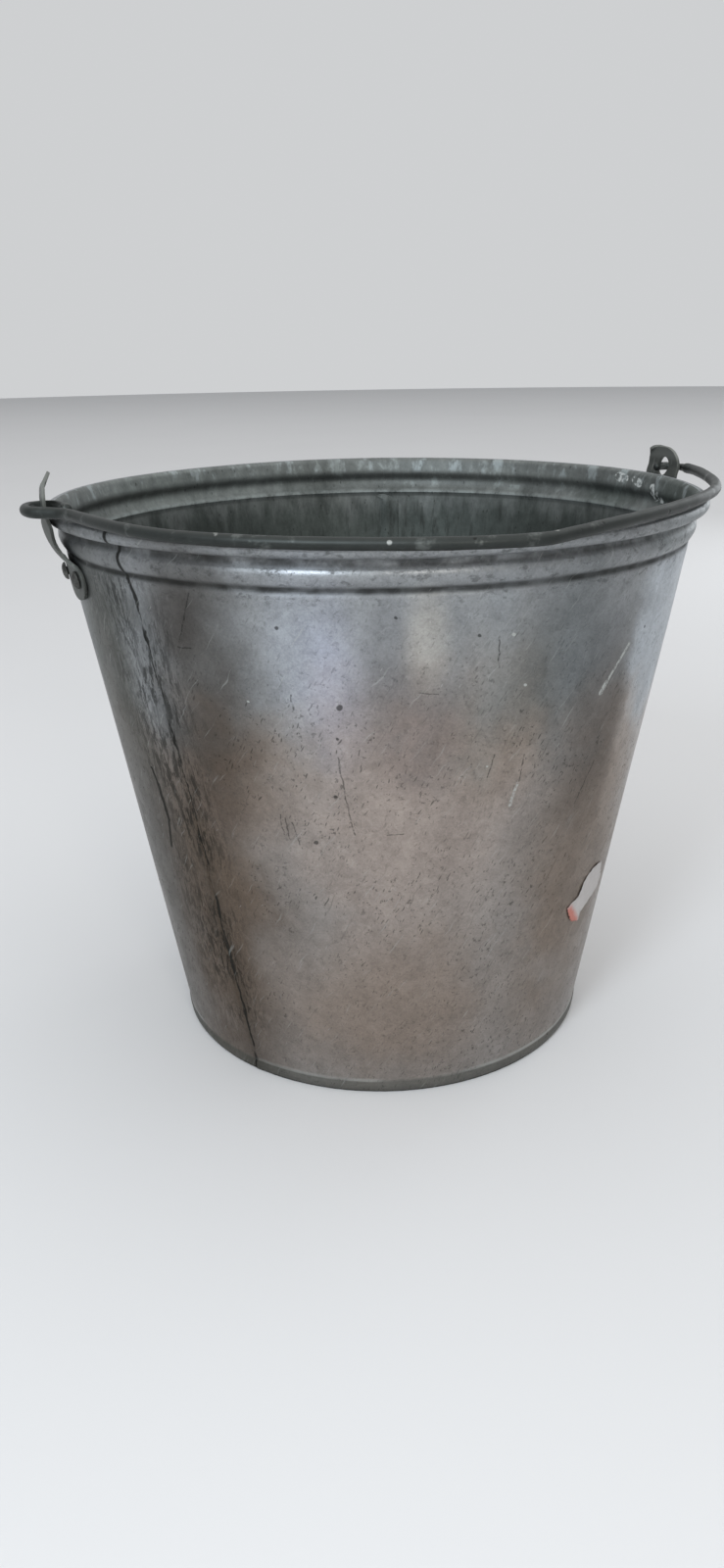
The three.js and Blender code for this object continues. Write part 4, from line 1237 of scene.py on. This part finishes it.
def torn_edge():
    """Points round the scrap's outline at even steps, jagged, and the length at each."""
    random = np.random.default_rng(7)
    closed = np.array(LABEL_OUTLINE + LABEL_OUTLINE[:1], float)
    length = np.concatenate([[0], np.cumsum(np.linalg.norm(np.diff(closed, axis=0), axis=1))])
    even = np.linspace(0, length[-1], LABEL_STEPS, endpoint=False)
    edge = np.stack([np.interp(even, length, closed[:, k]) for k in range(2)], 1)
    middle = edge.mean(0)
    torn = 1 + (random.random(LABEL_STEPS) - 0.5) * 0.035 + 0.015 * np.sin(even * 2.3)
    return middle, (edge - middle) * torn[:, None] * 0.975, even


class BUCKET_OT_label(bpy.types.Operator):
    """Tears the blank paper scrap and sticks it on the wall, lifting a little at its edge"""

    bl_idname = "bucket.label"
    bl_label = "Label scrap"

    def execute(self, context):
        middle, away, even = torn_edge()
        ring = np.linspace(0, 1, LABEL_RINGS)[:, None] ** 0.8
        flat = middle + away * ring[..., None]
        across, up = flat[..., 0], flat[..., 1]
        z = LABEL_HEIGHT + up
        crumple = 0.09 * np.sin(across * 1.1 + up * 0.6) + 0.07 * np.sin(up * 1.7 - across * 0.5)
        curled = 0.35 * ring**6 * (1 + np.sin(even * 0.33)) / 2
        lift = LABEL_LIFT + crumple * ring + curled
        radius = cone_radius(z) + lift
        angle = LABEL_ANGLE + np.degrees(across / radius)
        radius = radius + wall_dents(angle, z)
        points = polar(radius, angle, z)
        faces = grid_faces(LABEL_RINGS, LABEL_STEPS, close_columns=True)
        piece = make_mesh("label_paper", points, faces, [torn_paper()], crease=80)
        add_modifier(piece, "SOLIDIFY", thickness=PAPER * MM, offset=0)
        seat(piece, "bucket", "label_paper", "label_scrap")
        return {"FINISHED"}


# The stage: the photograph's view, a pale floor and soft light

CAMERA_PLACE = Vector((-0.2124, -0.5192, 0.3296)) + AXIS
VIEW_TURN = -22.25
VIEW_YAW = -0.83
VIEW_PITCH = 21.03
VIEW_ROLL = -0.66
LENS = 27.0
SENSOR_WIDTH = 36.0
FLOOR_RADIUS = 7.0
FLOOR_STEPS = 96
FLOOR_COLOUR = (0.7, 0.7, 0.7)
ROOM_LIGHT = (0.36, 0.37, 0.385)
ROOM_SEEN = (0.62, 0.63, 0.64)
LIGHTS_AIM = Vector((0, 0, 0.14))

# Soft lights: degrees from the view, height, distance and size in metres, watts and colour
LIGHTS = {
    "window_left": (-25, 0.95, 1.5, (0.4, 0.7), 14, (0.84, 0.92, 1.0)),
    "window_right": (16, 0.75, 1.6, (0.3, 0.6), 4, (1.0, 0.96, 0.9)),
    "side_right": (138, 0.5, 1.6, (0.6, 0.8), 3, (0.92, 0.96, 1.0)),
    "overhead": (90, 4.5, 0.5, (9.0, 9.0), 230, (1.0, 1.0, 1.0)),
}


def camera_axes():
    """Right, up and backward of the view: pitched down, then yawed, rolled and turned."""
    pitch, yaw, roll = [math.radians(v) for v in (VIEW_PITCH, VIEW_YAW, VIEW_ROLL)]
    forward = Vector((0, math.cos(pitch), -math.sin(pitch)))
    up = Vector((0, math.sin(pitch), math.cos(pitch)))
    right = Vector((1, 0, 0))
    aim = forward * math.cos(yaw) + right * math.sin(yaw)
    side = right * math.cos(yaw) - forward * math.sin(yaw)
    level = side * math.cos(roll) + up * math.sin(roll)
    top = -side * math.sin(roll) + up * math.cos(roll)
    turn = Matrix.Rotation(math.radians(VIEW_TURN), 3, "Z")
    return turn @ level, turn @ top, turn @ -aim


def soft_light(name, turn, height, distance, size, power, colour):
    """A rectangular soft light at an angle from the photograph's view, facing the bucket."""
    angle = math.radians(-90 + VIEW_TURN + turn)
    place = Vector((distance * math.cos(angle), distance * math.sin(angle), height))
    light = bpy.data.lights.new(name, "AREA")
    light.shape = "RECTANGLE"
    light.size, light.size_y = size
    light.energy = power
    light.color = colour
    lamp = bpy.data.objects.new(name, light)
    lamp.location = place + AXIS
    lamp.rotation_euler = (place - LIGHTS_AIM).to_track_quat("Z", "Y").to_euler()
    bpy.context.scene.collection.objects.link(lamp)


def pale_world():
    """A pale background for the camera and for reflections, dimmer where it lights the scene."""
    world = bpy.data.worlds.new("soft_room")
    world.use_nodes = True
    nodes, links = world.node_tree.nodes, world.node_tree.links
    nodes.clear()
    seen = nodes.new("ShaderNodeLightPath")
    back = nodes.new("ShaderNodeBackground")
    back.inputs["Color"].default_value = (*ROOM_LIGHT, 1)
    back.inputs["Strength"].default_value = 1.0
    view = nodes.new("ShaderNodeBackground")
    view.inputs["Color"].default_value = (*ROOM_SEEN, 1)
    mix = nodes.new("ShaderNodeMixShader")
    out = nodes.new("ShaderNodeOutputWorld")
    share = seen.outputs["Is Camera Ray"]
    for kind in ("Is Glossy Ray", "Is Transmission Ray"):
        either = nodes.new("ShaderNodeMath")
        either.operation = "MAXIMUM"
        links.new(share, either.inputs[0])
        links.new(seen.outputs[kind], either.inputs[1])
        share = either.outputs[0]
    links.new(share, mix.inputs["Fac"])
    links.new(back.outputs[0], mix.inputs[1])
    links.new(view.outputs[0], mix.inputs[2])
    links.new(mix.outputs[0], out.inputs["Surface"])
    bpy.context.scene.world = world


def pale_floor():
    """A large round floor with a faint tone of noise."""
    angle = np.linspace(0, 2 * np.pi, FLOOR_STEPS, endpoint=False)
    edge = np.stack([np.cos(angle), np.sin(angle), 0 * angle], 1) * FLOOR_RADIUS
    mesh = bpy.data.meshes.new("floor")
    mesh.from_pydata(edge.tolist(), [], [list(range(FLOOR_STEPS))])
    paint = Paint("pale_floor")
    tone = paint.noise(paint.object, 3, 2)
    paint.finish(paint.blend(tone, FLOOR_COLOUR, tuple(v * 0.97 for v in FLOOR_COLOUR)), 0.9, 0.0)
    mesh.materials.append(paint.material)
    floor = bpy.data.objects.new("floor", mesh)
    bpy.context.scene.collection.objects.link(floor)


def photo_camera():
    """The camera at the photograph's view."""
    scene = bpy.context.scene
    camera = bpy.data.cameras.new("photo_view")
    camera.lens = LENS
    camera.sensor_width = SENSOR_WIDTH
    camera.sensor_fit = "AUTO"
    eye = bpy.data.objects.new("photo_view", camera)
    columns = camera_axes()
    eye.matrix_world = Matrix([[*[c[k] for c in columns], CAMERA_PLACE[k]] for k in range(3)]
                              + [[0, 0, 0, 1]])
    scene.collection.objects.link(eye)
    scene.camera = eye
    scene.view_settings.view_transform = "Standard"


class BUCKET_OT_stage(bpy.types.Operator):
    """Sets the floor, the soft lights and the camera at the photograph's view"""

    bl_idname = "bucket.stage"
    bl_label = "Stage"

    def execute(self, context):
        pale_floor()
        pale_world()
        for name, settings in LIGHTS.items():
            soft_light(name, *settings)
        photo_camera()
        return {"FINISHED"}


OPERATORS = [
    BUCKET_OT_wall, BUCKET_OT_bottom, BUCKET_OT_ears, BUCKET_OT_rivets, BUCKET_OT_bail,
    BUCKET_OT_label, BUCKET_OT_stage,
]


class BUCKET_PT_panel(bpy.types.Panel):
    """Lists the bucket's sizes, colours and pieces"""

    bl_label = "Bucket"
    bl_idname = "BUCKET_PT_panel"
    bl_space_type = "VIEW_3D"
    bl_region_type = "UI"
    bl_category = "Bucket"

    def draw(self, context):
        for group in (context.scene.bucket_sizes, context.scene.bucket_colours):
            for key in group.__annotations__:
                self.layout.prop(group, key)
        for operator in OPERATORS:
            self.layout.operator(operator.bl_idname)


CLASSES = [BucketSizes, BucketColours, *OPERATORS, BUCKET_PT_panel]


def register():
    for cls in CLASSES:
        bpy.utils.register_class(cls)
    bpy.types.Scene.bucket_sizes = bpy.props.PointerProperty(type=BucketSizes)
    bpy.types.Scene.bucket_colours = bpy.props.PointerProperty(type=BucketColours)


def unregister():
    del bpy.types.Scene.bucket_sizes
    del bpy.types.Scene.bucket_colours
    for cls in reversed(CLASSES):
        bpy.utils.unregister_class(cls)


def main():
    register()
    for operator in OPERATORS:
        group, name = operator.bl_idname.split(".")
        getattr(getattr(bpy.ops, group), name)()


if __name__ == "__main__":
    main()
